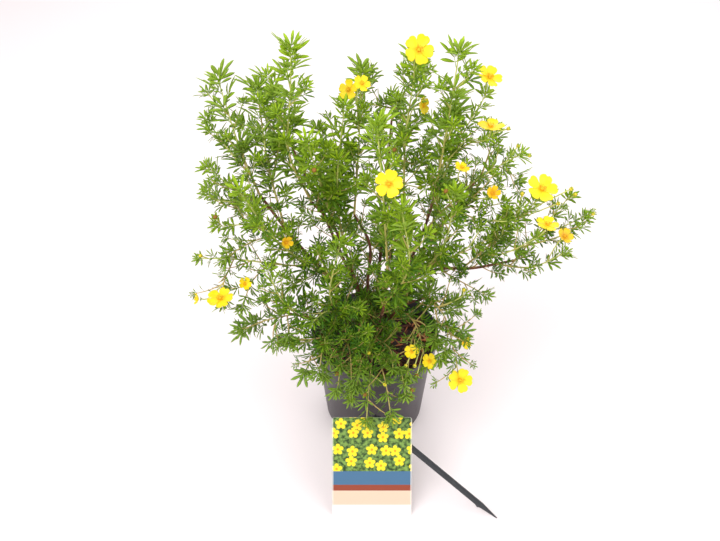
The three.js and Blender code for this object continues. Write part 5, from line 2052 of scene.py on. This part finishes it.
@dataclass
class Foliage:
    """Leafy shoots: one piece for each spray, and short shoots on the woody stems; sizes in metres."""

    wood: WoodyFramework
    around: Surroundings
    node_step: float = 0.0105
    twig_step: float = 0.024
    twig_length: float = 0.032
    stalk_radius: float = 0.00065
    head_drop: float = 0.0026
    spent_size: float = 0.0095
    bud_size: float = 0.0078
    small_leaf: float = 0.0115
    leaf_reach: Point = (0.4, 0.9, 1.42)
    tuft_chance: float = 0.62
    rosette: int = 4
    rosette_step: float = 0.0018
    tip_radius: float = 0.0006
    hanging_girth: float = 0.72
    hanging_leaves: float = 1.2
    green_stretch: float = 0.007
    short_step: float = 0.014
    short_share: float = 0.8
    bare_foot: float = 0.2
    green_sides: int = 7
    tone_drift: float = 0.12

    def __post_init__(self) -> None:
        """Makes the shapes and the tree that grows them."""
        self.shapes = SprigShapes()
        leaf, shoot = LeafFinish().material(), ShootFinish().material()
        self.grower = Grower("leafy_shoots", self.shapes.store, leaf, shoot)
        self.leaves = 0

    @staticmethod
    def leaf_turn(way: Vector, azimuth: float, pitch: float) -> Quaternion:
        """How a leaf stands on its stem.

        Args:
            way: Direction of the stem.
            azimuth: Turn round the stem.
            pitch: Lean away from the stem.

        Returns:
            Its rotation, with X along the leaf and Z its upper side.
        """
        side = ASIDE.cross(way).normalized()
        radial = Quaternion(way, azimuth) @ side
        ahead = way * math.cos(pitch) + radial * math.sin(pitch)
        ahead.z += 0.15 * math.sin(pitch)
        ahead.normalize()
        across = (way - 0.35 * radial).cross(ahead).normalized()
        return axes(ahead, across).to_quaternion()

    def _leaf(self, skeleton: Skeleton, place: Vector, way: Vector, azimuth: float, pitch: float, size: float,
              youth: float, draws: random.Random) -> None:
        """Adds a leaf unless its tip would leave the box or cut into something.

        Args:
            skeleton: Skeleton that it joins.
            place: Its foot.
            way: Direction of the stem.
            azimuth: Turn round the stem.
            pitch: Lean away from the stem.
            size: Its size.
            youth: Its tone.
            draws: Seeded draws.
        """
        turn = self.leaf_turn(way, azimuth, pitch)
        ahead = turn @ Vector((1, 0, 0))
        if not all(self.around.open_at(place + ahead * size * share) for share in self.leaf_reach):
            return
        large = (Sprig.LEAF, Sprig.LEAF, Sprig.NARROW_LEAF)
        kind = Sprig.SMALL_LEAF if size < self.small_leaf else draws.choice(large)
        skeleton.site(place, turn, size, kind.value, youth)
        self.leaves += 1

    def _leafy(self, skeleton: Skeleton, route: Route, size: float, begin: float, youth: float,
               draws: random.Random) -> None:
        """Clothes a shoot: a leaf and a tuft of smaller ones at each node, and a rosette at its tip.

        Args:
            skeleton: Skeleton that they join.
            route: Way of the shoot.
            size: Size of its leaves.
            begin: Share of the shoot that stays bare.
            youth: Tone at its tip.
            draws: Seeded draws.
        """
        nodes = max(2, round(route.length * (1 - begin) / self.node_step))
        for i in range(nodes):
            rank = i / nodes
            share = begin + (1 - begin) * (i + draws.uniform(0.2, 0.6)) / nodes
            place, way = route.point(share), route.direction(share)
            azimuth = i * GOLDEN_ANGLE + draws.uniform(-0.3, 0.3)
            pitch = 1.05 - 0.45 * rank + draws.uniform(-0.2, 0.2)
            # Leaves grow paler towards the tip: partly new growth, partly painted backlight.
            tone = youth * (0.35 + 0.65 * rank)
            self._leaf(skeleton, place, way, azimuth, pitch, size * draws.uniform(0.85, 1.05), tone, draws)
            for hand in (-1, 1):
                if draws.random() < self.tuft_chance:
                    self._leaf(skeleton, place, way, azimuth + hand * draws.uniform(0.5, 1.1),
                               pitch * draws.uniform(0.5, 1.0), size * draws.uniform(0.5, 0.75),
                               tone + 0.15, draws)
        end, way = route.point(1), route.direction(1)
        # The rosette at the tip is palest: partly new growth, partly painted backlight.
        for i in range(self.rosette):
            place = end - way * self.rosette_step * (i + 1)
            self._leaf(skeleton, place, way, i * GOLDEN_ANGLE, 0.22 + 0.14 * i, size * (0.6 + 0.06 * i),
                       youth + 0.25 - 0.04 * i, draws)

    def _twig(self, skeleton: Skeleton, route: Route, share: float, azimuth: float, size: float, youth: float,
              draws: random.Random) -> None:
        """Adds a short side shoot with its leaves.

        Args:
            skeleton: Skeleton that it joins.
            route: Way of the stem that carries it.
            share: Share of that stem at which it stands.
            azimuth: Turn round that stem.
            size: Size of its leaves.
            youth: Tone at its tip.
            draws: Seeded draws.
        """
        start, way = route.point(share), route.direction(share)
        side = ASIDE.cross(way).normalized()
        out = Quaternion(way, azimuth) @ side
        length = self.twig_length * draws.uniform(0.6, 1.25)
        ahead = (way * 0.75 + out * 0.8 + Vector((0, 0, 0.25))).normalized()
        end = start + ahead * length + Vector((0, 0, 0.12 * length))
        if not self.around.open_at(end + ahead * size):
            return
        twig = Route([start, start.lerp(end, 0.5) - Vector((0, 0, 0.06 * length)), end])
        skeleton.stem(twig, 0.00075, 0.00045, 5, (youth * 0.5, youth))
        self._leafy(skeleton, twig, size, 0.3, youth, draws)

    def _head(self, skeleton: Skeleton, head: Head, routes: Sequence[Route]) -> None:
        """Adds a flower stalk with its calyx, spent head or bud.

        Args:
            skeleton: Skeleton that it joins.
            head: What stands at its end.
            routes: Ways of the spray's shoots.
        """
        start = routes[head.stem].point(head.share)
        at = millimetres(head.at)
        facing = Vector(head.face).normalized() if head.face else (at - start).normalized()
        base = at - facing * self.head_drop
        reach = (base - start).length * 0.4
        middle = base - facing * reach
        bend = Route([start, start.lerp(middle, 0.55).lerp(base, 0.12), middle.lerp(base, 0.5), base])
        skeleton.stem(bend, self.stalk_radius, self.stalk_radius * 1.15, 9, (0.55, 0.85))
        turn = Vector((0, 0, 1)).rotation_difference(facing)
        size, kind = {
            BLOOM: (head.width * MM, Sprig.CALYX),
            SPENT: (self.spent_size, Sprig.SPENT),
            BUD: (self.bud_size, Sprig.BUD),
        }[head.kind]
        skeleton.site(base, turn, size, kind.value, 0.55)

    def spray(self, plan: Spray, number: int) -> Shape:
        """Grows one spray.

        Args:
            plan: Its plan.
            number: Its place in the list, which seeds its draws.

        Returns:
            The piece.
        """
        draws = random.Random(101 + number)
        bark = self.wood.routes[plan.on]
        routes: list[Route] = []
        skeleton = Skeleton()
        for shoot in (*plan.shoots, *plan.fillers):
            start = bark.point(plan.at) if not routes else routes[0].point(shoot.fork)
            route = Route([start, *(millimetres(point) for point in shoot.route)])
            routes.append(route)
            hangs = route.point(1).z < route.point(0.3).z
            thin = hangs or shoot in plan.fillers
            first = (0.85 + shoot.size * 0.025) * (self.hanging_girth if thin else 1) * MM
            count = max(6, round(route.length / self.green_stretch))
            skeleton.stem(route, first, self.tip_radius, count, (0.1, 0.45) if hangs else (0.25, 0.95))
            # Shoots that end higher get paler leaves: partly new growth, partly painted light on the top of
            # the plant.
            youth = 0.2 + 0.6 * min(max((route.point(1).z - 0.2) / 0.33, 0), 1)
            size = shoot.size * (self.hanging_leaves if hangs else 1) * MM
            self._leafy(skeleton, route, size, 0.1, youth, draws)
            for i in range(int(route.length / self.twig_step)):
                share = 0.08 + 0.78 * (i + draws.uniform(0.1, 0.9)) * self.twig_step / route.length
                self._twig(skeleton, route, share, i * GOLDEN_ANGLE + 1.3, size * draws.uniform(0.55, 0.75),
                           youth * 0.85, draws)
        for head in (*plan.heads, *plan.extras):
            self._head(skeleton, head, routes)
        name = "leafy_" + plan.name
        return self.grower.grow(skeleton, name, self.green_sides, 300 + number, self.tone_drift)

    def short_shoots(self, name: str, number: int) -> Shape:
        """Grows the short shoots of one woody stem.

        Args:
            name: Name of the stem.
            number: Its place in the plan, which seeds its draws.

        Returns:
            The piece.
        """
        draws = random.Random(701 + number)
        route = self.wood.routes[name]
        skeleton = Skeleton()
        part, step = self.short_share, self.short_step
        for i in range(int(route.length * part / step)):
            share = self.bare_foot + part * (i + draws.uniform(0, 0.8)) * step / (route.length * part)
            self._twig(skeleton, route, min(share, 0.98), i * GOLDEN_ANGLE + 0.7, draws.uniform(0.011, 0.017),
                       draws.uniform(0.05, 0.4), draws)
        name = "short_shoots_" + name
        return self.grower.grow(skeleton, name, self.green_sides, 800 + number, self.tone_drift)

    def build(self) -> list[tuple[Shape, list[str]]]:
        """Grows all sprays and short shoots.

        Returns:
            The pieces, each with the nodes that it stands for.
        """
        pieces = [(self.spray(plan, number), [plan.name]) for number, plan in enumerate(SPRAYS)]
        pieces += [(self.short_shoots(name, number), []) for number, name in enumerate(WOOD)]
        discard(self.shapes.store)
        log.info("%d leaves", self.leaves)
        return pieces

    def dress(self, pieces: list[tuple[Shape, list[str]]]) -> None:
        """Hangs each piece on its body and hides the nodes that it stands for, if any."""
        for piece, nodes in pieces:
            dressed(piece, nodes)


@dataclass
class Blooms:
    """The open flowers: five cupped petals, a hairy middle and a ring of stamens; sizes in metres."""

    petal_thickness: float = 0.00028
    stamens: int = 24
    petals: int = 5
    half_open: float = 0.0086
    half_open_lift: float = 0.45
    broad: float = 0.435
    rows: tuple[Flat, ...] = (
        (0.05, 0.13), (0.16, 0.3), (0.32, 0.6), (0.5, 0.84),
        (0.68, 0.99), (0.83, 0.96), (0.94, 0.72), (1.0, 0.36),
    )
    columns: int = 8

    def __post_init__(self) -> None:
        """Makes the stamen and the tree that sets it round each bloom."""
        sheet = Sheet()
        rod(sheet, Vector((0, 0, 0)), Vector((0, 0, 0.8)), 0.05, 0.03)
        knob(sheet, Vector((0, 0, 0.86)), 0.13, 0.17, 0.0, 5)
        self.store = stored("stamen_shapes", [sheet.build("stamen_0")])
        pollen = PollenFinish().material()
        self.grower = Grower("stamen_ring", self.store, pollen, pollen)

    def _petal(self, sheet: Sheet, place: Matrix, reach: float, number: int, draws: random.Random,
               faded: float) -> None:
        """Adds one petal as a thin closed sheet.

        Args:
            sheet: Mesh that it joins.
            place: Frame of the bloom.
            reach: Length from the bloom's middle to the petal's edge; a short one is half open.
            number: Its place among the five.
            draws: Seeded draws.
            faded: 1 for a wilting bloom, else 0.
        """
        closed = self.half_open_lift if reach < self.half_open else 0
        lift = draws.uniform(0.14, 0.27) + 0.25 * faded + closed
        ruffle, phase = draws.uniform(0.015, 0.04), draws.uniform(0, math.tau)
        broad = self.broad * reach * draws.uniform(0.94, 1.04)
        skew = draws.uniform(-0.06, 0.06)
        turn = Matrix.Rotation(number * math.radians(360 / self.petals) + skew, 4, "Z")
        turn = turn @ Matrix.Rotation(draws.uniform(-0.1, 0.1), 4, "X")
        grids: list[list[list[int]]] = []
        for side in (1, -1):
            grid = []
            for along, share in self.rows:
                row = []
                for step in range(self.columns + 1):
                    across = 2 * step / self.columns - 1
                    notch = 0.05 * (1 - abs(across)) * max(0.0, along - 0.85) / 0.15
                    x = reach * (along - notch)
                    y = broad * share * across
                    z = reach * (lift * along ** 1.5 - 0.07 * (1 - across * across) * share
                                 + ruffle * along * math.sin(3 * across + phase + 2 * along))
                    z += side * self.petal_thickness / 2
                    row.append(sheet.point(place @ turn @ Vector((x, y, z)), faded))
                grid.append(row)
            grids.append(grid)
        upper, lower = grids
        last_row, last = len(self.rows) - 1, self.columns

        def chart(row: int, step: int) -> tuple[float, float]:
            """UV of a grid point."""
            return step / self.columns, self.rows[row][0]

        for row in range(last_row):
            for step in range(last):
                spots = ((row, step), (row + 1, step), (row + 1, step + 1), (row, step + 1))
                marks = tuple(chart(*spot) for spot in spots)
                sheet.face([upper[r][s] for r, s in spots], marks)
                sheet.face([lower[r][s] for r, s in spots][::-1], marks[::-1], 1)
        ring = [(0, s) for s in range(last)] + [(r, last) for r in range(last_row)]
        ring += [(last_row, s) for s in range(last, 0, -1)] + [(r, 0) for r in range(last_row, 0, -1)]
        for here, ahead in zip(ring, ring[1:] + ring[:1]):
            corners = (lower[here[0]][here[1]], upper[here[0]][here[1]], upper[ahead[0]][ahead[1]],
                       lower[ahead[0]][ahead[1]])
            marks = (chart(*here), chart(*here), chart(*ahead), chart(*ahead))
            sheet.face(corners, marks)

    def flower(self, head: Head, number: int) -> Shape:
        """Builds one bloom at its place.

        Args:
            head: Its plan.
            number: Its number, which seeds its draws.

        Returns:
            The bloom.
        """
        draws = random.Random(501 + number)
        reach = head.width * MM / 2
        facing = Vector(head.face).normalized()
        turn = Vector((0, 0, 1)).rotation_difference(facing)
        place = Matrix.Translation(millimetres(head.at)) @ turn.to_matrix().to_4x4()
        sheet = Sheet()
        for petal in range(self.petals):
            self._petal(sheet, place, reach, petal, draws, float(head.faded))
        petals = sheet.build("petals")
        outward(petals)
        petals.data.materials.append(PetalFinish().material())
        middle = Sheet()
        knob(middle, Vector((0, 0, 0.06 * reach)), 0.15 * reach, 0.12 * reach, 0.0, 14)
        dome = middle.build("dome")
        dome.data.transform(place)
        dome.data.materials.append(PollenFinish().material())
        ring = Skeleton()
        for i in range(self.stamens):
            angle = i * GOLDEN_ANGLE
            radius = reach * (0.1 + 0.1 * draws.random())
            foot = Vector((radius * math.cos(angle), radius * math.sin(angle), 0.05 * reach))
            lean = (foot.normalized() * draws.uniform(0.3, 0.9) + Vector((0, 0, 1))).normalized()
            ring.site(place @ foot, turn @ Vector((0, 0, 1)).rotation_difference(lean),
                      reach * draws.uniform(0.16, 0.26), 0, 0.5)
        stamens = self.grower.grow(ring, "stamens", 3, 900 + number, 0.1)
        return joined(f"flower_{number:02d}", [petals, dome, stamens])

    def build(self) -> list[Shape]:
        """Builds every bloom in the order of the sprays.

        Returns:
            The blooms.
        """
        flowers = [self.flower(head, number + 1) for number, head in enumerate(bloom_heads())]
        discard(self.store)
        return flowers

    def dress(self, flowers: list[Shape]) -> None:
        """Hangs each flower on its body and hides the node that it stands for."""
        for number, flower in enumerate(flowers):
            dressed(flower, [f"bloom_{number + 1:02d}"])


@dataclass
class Label:
    """The printed card in front of the pot; sizes in millimetres."""

    width: float = 100.0
    length: float = 127.5
    thickness: float = 0.8
    corner: float = 3.0

    FOOT = Vector((-5, -190.4, 0)) * MM
    LEAN = math.radians(58)
    PLAIN_PRINT = (0.5, 0.95)

    @classmethod
    def frame(cls) -> Matrix:
        """Frame of the card's foot: X across, Y up the card, Z out of its print."""
        along = Vector((0, math.cos(cls.LEAN), math.sin(cls.LEAN)))
        return Matrix.Translation(cls.FOOT) @ axes(Vector((1, 0, 0)), along).to_4x4()

    @classmethod
    def locate(cls, place: Vector) -> tuple[float, float, float]:
        """A point's place across, up and off the card, in metres."""
        return tuple(cls.frame().inverted() @ place)

    def build(self) -> Shape:
        """Makes the card with rounded upper corners and its print's map.

        Returns:
            The card.
        """
        half = self.width / 2
        outline = [(-half, 0.0), (half, 0.0)]
        for sign, turns in ((1, range(0, 91, 15)), (-1, range(90, 181, 15))):
            centre = (sign * (half - self.corner), self.length - self.corner)
            for degrees in turns:
                angle = math.radians(degrees)
                outline.append((centre[0] + self.corner * math.cos(angle),
                                centre[1] + self.corner * math.sin(angle)))
        sheet = Sheet()
        place = self.frame()
        front = [sheet.point(place @ (Vector((x, y, self.thickness)) * MM)) for x, y in outline]
        back = [sheet.point(place @ (Vector((x, y, 0)) * MM)) for x, y in outline]
        marks = [((x + half) / self.width, 1 - y / self.length) for x, y in outline]
        sheet.slab(back, front, marks, (self.PLAIN_PRINT,) * len(outline))
        return sheet.build("printed_card", smooth=False)

    def dress(self, card: Shape) -> None:
        """Gives the card its generic print."""
        card.data.materials.append(PrintFinish().material())
        dressed(card, ["plant_label"])


@dataclass
class Stake:
    """The grooved stake behind the card; sizes in millimetres."""

    head: Point = (-3, -116.5, 102)
    tip: Point = (153, -196, 1.05)
    width: float = 8.5
    thickness: float = 2.4
    pad: float = 10.0
    pad_share: float = 0.03
    gap: float = 0.3
    barb: float = 26.0
    barb_flare: float = 1.6
    groove_end: float = 30.0
    groove_half: float = 1.2
    groove_depth: float = 0.6
    edge: float = 0.35
    pad_edge: float = 0.6

    def build(self) -> Shape:
        """Makes the barbed bar, cuts its groove, rounds its edges and adds the pad.

        Returns:
            The stake.
        """
        head, tip = Vector(self.head), Vector(self.tip)
        length, half = (tip - head).length, self.width / 2
        barb, flare = length - self.barb, half + self.barb_flare
        outline = [(0, -half), (barb - 8, -half), (barb - 4, -flare), (barb, -half + 0.6),
                   (length, 0), (barb, half - 0.6), (0, half)]
        top = self.thickness / 2
        bar = self._slab("bar", outline, -top, top)
        ends = (self.groove_end, length - self.groove_end)
        groove = self._slab("groove", self._box(ends, (-self.groove_half, self.groove_half)),
                            top - self.groove_depth, top + 2)
        carved(bar, groove)
        edge = bar.modifiers.new("edge", "BEVEL")
        edge.width = self.edge * MM
        edge.segments = 2
        edge.limit_method = "ANGLE"
        bar = applied(bar, "bar")
        bpy.data.objects.remove(groove)
        ahead = (tip - head).normalized()
        across = Vector((0, 0, 1)).cross(ahead).normalized()
        bar.data.transform(Matrix.Translation(head * MM) @ axes(ahead, across).to_4x4())
        seat = Label.frame().inverted() @ (head.lerp(tip, self.pad_share) * MM) / MM
        side = self.pad / 2
        square = self._box((seat.x - side, seat.x + side), (seat.y - side, seat.y + side))
        pad = self._slab("pad", square, seat.z, -self.gap)
        edge = pad.modifiers.new("edge", "BEVEL")
        edge.width = self.pad_edge * MM
        edge.segments = 2
        pad = applied(pad, "pad")
        pad.data.transform(Label.frame())
        return joined("grooved_stake", [bar, pad])

    @staticmethod
    def _box(along: Flat, across: Flat) -> list[Flat]:
        """Corners of a rectangle between two limits along and two across."""
        return [(along[0], across[0]), (along[1], across[0]), (along[1], across[1]), (along[0], across[1])]

    @staticmethod
    def _slab(name: str, outline: Sequence[Flat], low: float, high: float) -> Shape:
        """Makes a flat slab.

        Args:
            name: Name of the object.
            outline: Its outline, in millimetres.
            low: Height of its underside, in millimetres.
            high: Height of its top, in millimetres.

        Returns:
            The slab.
        """
        sheet = Sheet()
        under = [sheet.point(Vector((x, y, low)) * MM) for x, y in outline]
        upper = [sheet.point(Vector((x, y, high)) * MM) for x, y in outline]
        mark = (PLAIN,) * len(outline)
        sheet.slab(under, upper, mark, mark)
        slab = sheet.build(name, smooth=False)
        outward(slab)
        return slab

    def dress(self, stake: Shape) -> None:
        """Gives the stake its plastic.

        Args:
            stake: The stake.
        """
        stake.data.materials.clear()
        stake.data.materials.append(StakeFinish().material())
        dressed(stake, ["label_stake"])


@dataclass
class Studio:
    """Camera, pale sweep and soft light; sizes in metres."""

    eye: Point = (-0.020, -0.8344, 0.918)
    tilt_degrees: float = 51.1
    lens: float = 42.5
    sensor: float = 36.0
    sweep: float = 6.0
    air: tuple[float, ...] = (1.0, 0.985, 0.98, 1.0)
    air_strength: float = 0.76
    # Name, place, size, power and aim of each lamp
    lamps: tuple[tuple[str, Point, float, float, Point], ...] = (
        ("key", (-0.9, -0.9, 1.7), 1.5, 24, (0, 0, 0.25)),
        ("fill", (1.3, -0.7, 1.2), 1.6, 13, (0, 0, 0.25)),
        ("back", (0.2, 1.5, 1.6), 1.8, 15, (0, 0, 0.3)),
    )

    def camera(self) -> None:
        """Sets the camera at the photo's angle."""
        data = bpy.data.cameras.new("view")
        data.lens = self.lens
        data.sensor_width = self.sensor
        data.clip_start = 0.01
        view = bpy.data.objects.new("view", data)
        view.location = self.eye
        view.rotation_euler = (math.radians(self.tilt_degrees), 0, 0)
        bpy.context.scene.collection.objects.link(view)
        bpy.context.scene.camera = view

    def floor(self) -> None:
        """Lays the pale sweep."""
        half = self.sweep / 2
        sheet = Sheet()
        square = ((-half, -half), (half, -half), (half, half), (-half, half))
        corners = [sheet.point(Vector((x, y, 0))) for x, y in square]
        sheet.face(corners, ((0, 0), (1, 0), (1, 1), (0, 1)))
        floor = sheet.build("paper_floor", smooth=False)
        floor.data.materials.append(FloorFinish().material())
        floor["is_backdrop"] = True

    def light(self) -> None:
        """Hangs three soft lights and a pale surround."""
        for name, place, size, power, aim in self.lamps:
            data = bpy.data.lights.new(name, "AREA")
            data.size = size
            data.energy = power
            lamp = bpy.data.objects.new(name, data)
            lamp.location = place
            lamp.rotation_euler = (Vector(aim) - Vector(place)).to_track_quat("-Z", "Y").to_euler()
            bpy.context.scene.collection.objects.link(lamp)
        world = bpy.data.worlds.new("studio")
        world.use_nodes = True
        surround = world.node_tree.nodes["Background"]
        surround.inputs["Color"].default_value = self.air
        surround.inputs["Strength"].default_value = self.air_strength
        bpy.context.scene.world = world
        bpy.context.scene.view_settings.view_transform = "Standard"


def main() -> None:
    """Builds every sub-assembly and the studio."""
    logging.basicConfig(level=logging.INFO, format="%(message)s")
    cad_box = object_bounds()
    low, high = Vector(cad_box[0]), Vector(cad_box[1])
    pot = NurseryPot()
    pot.dress(pot.build())
    bed = MulchBed(pot)
    bed.dress(bed.build())
    wood = WoodyFramework()
    wood.dress(wood.build())
    foliage = Foliage(wood, Surroundings(pot, low, high))
    foliage.dress(foliage.build())
    blooms = Blooms()
    blooms.dress(blooms.build())
    label = Label()
    label.dress(label.build())
    stake = Stake()
    stake.dress(stake.build())
    studio = Studio()
    studio.floor()
    studio.light()
    studio.camera()


if __name__ == "__main__":
    main()
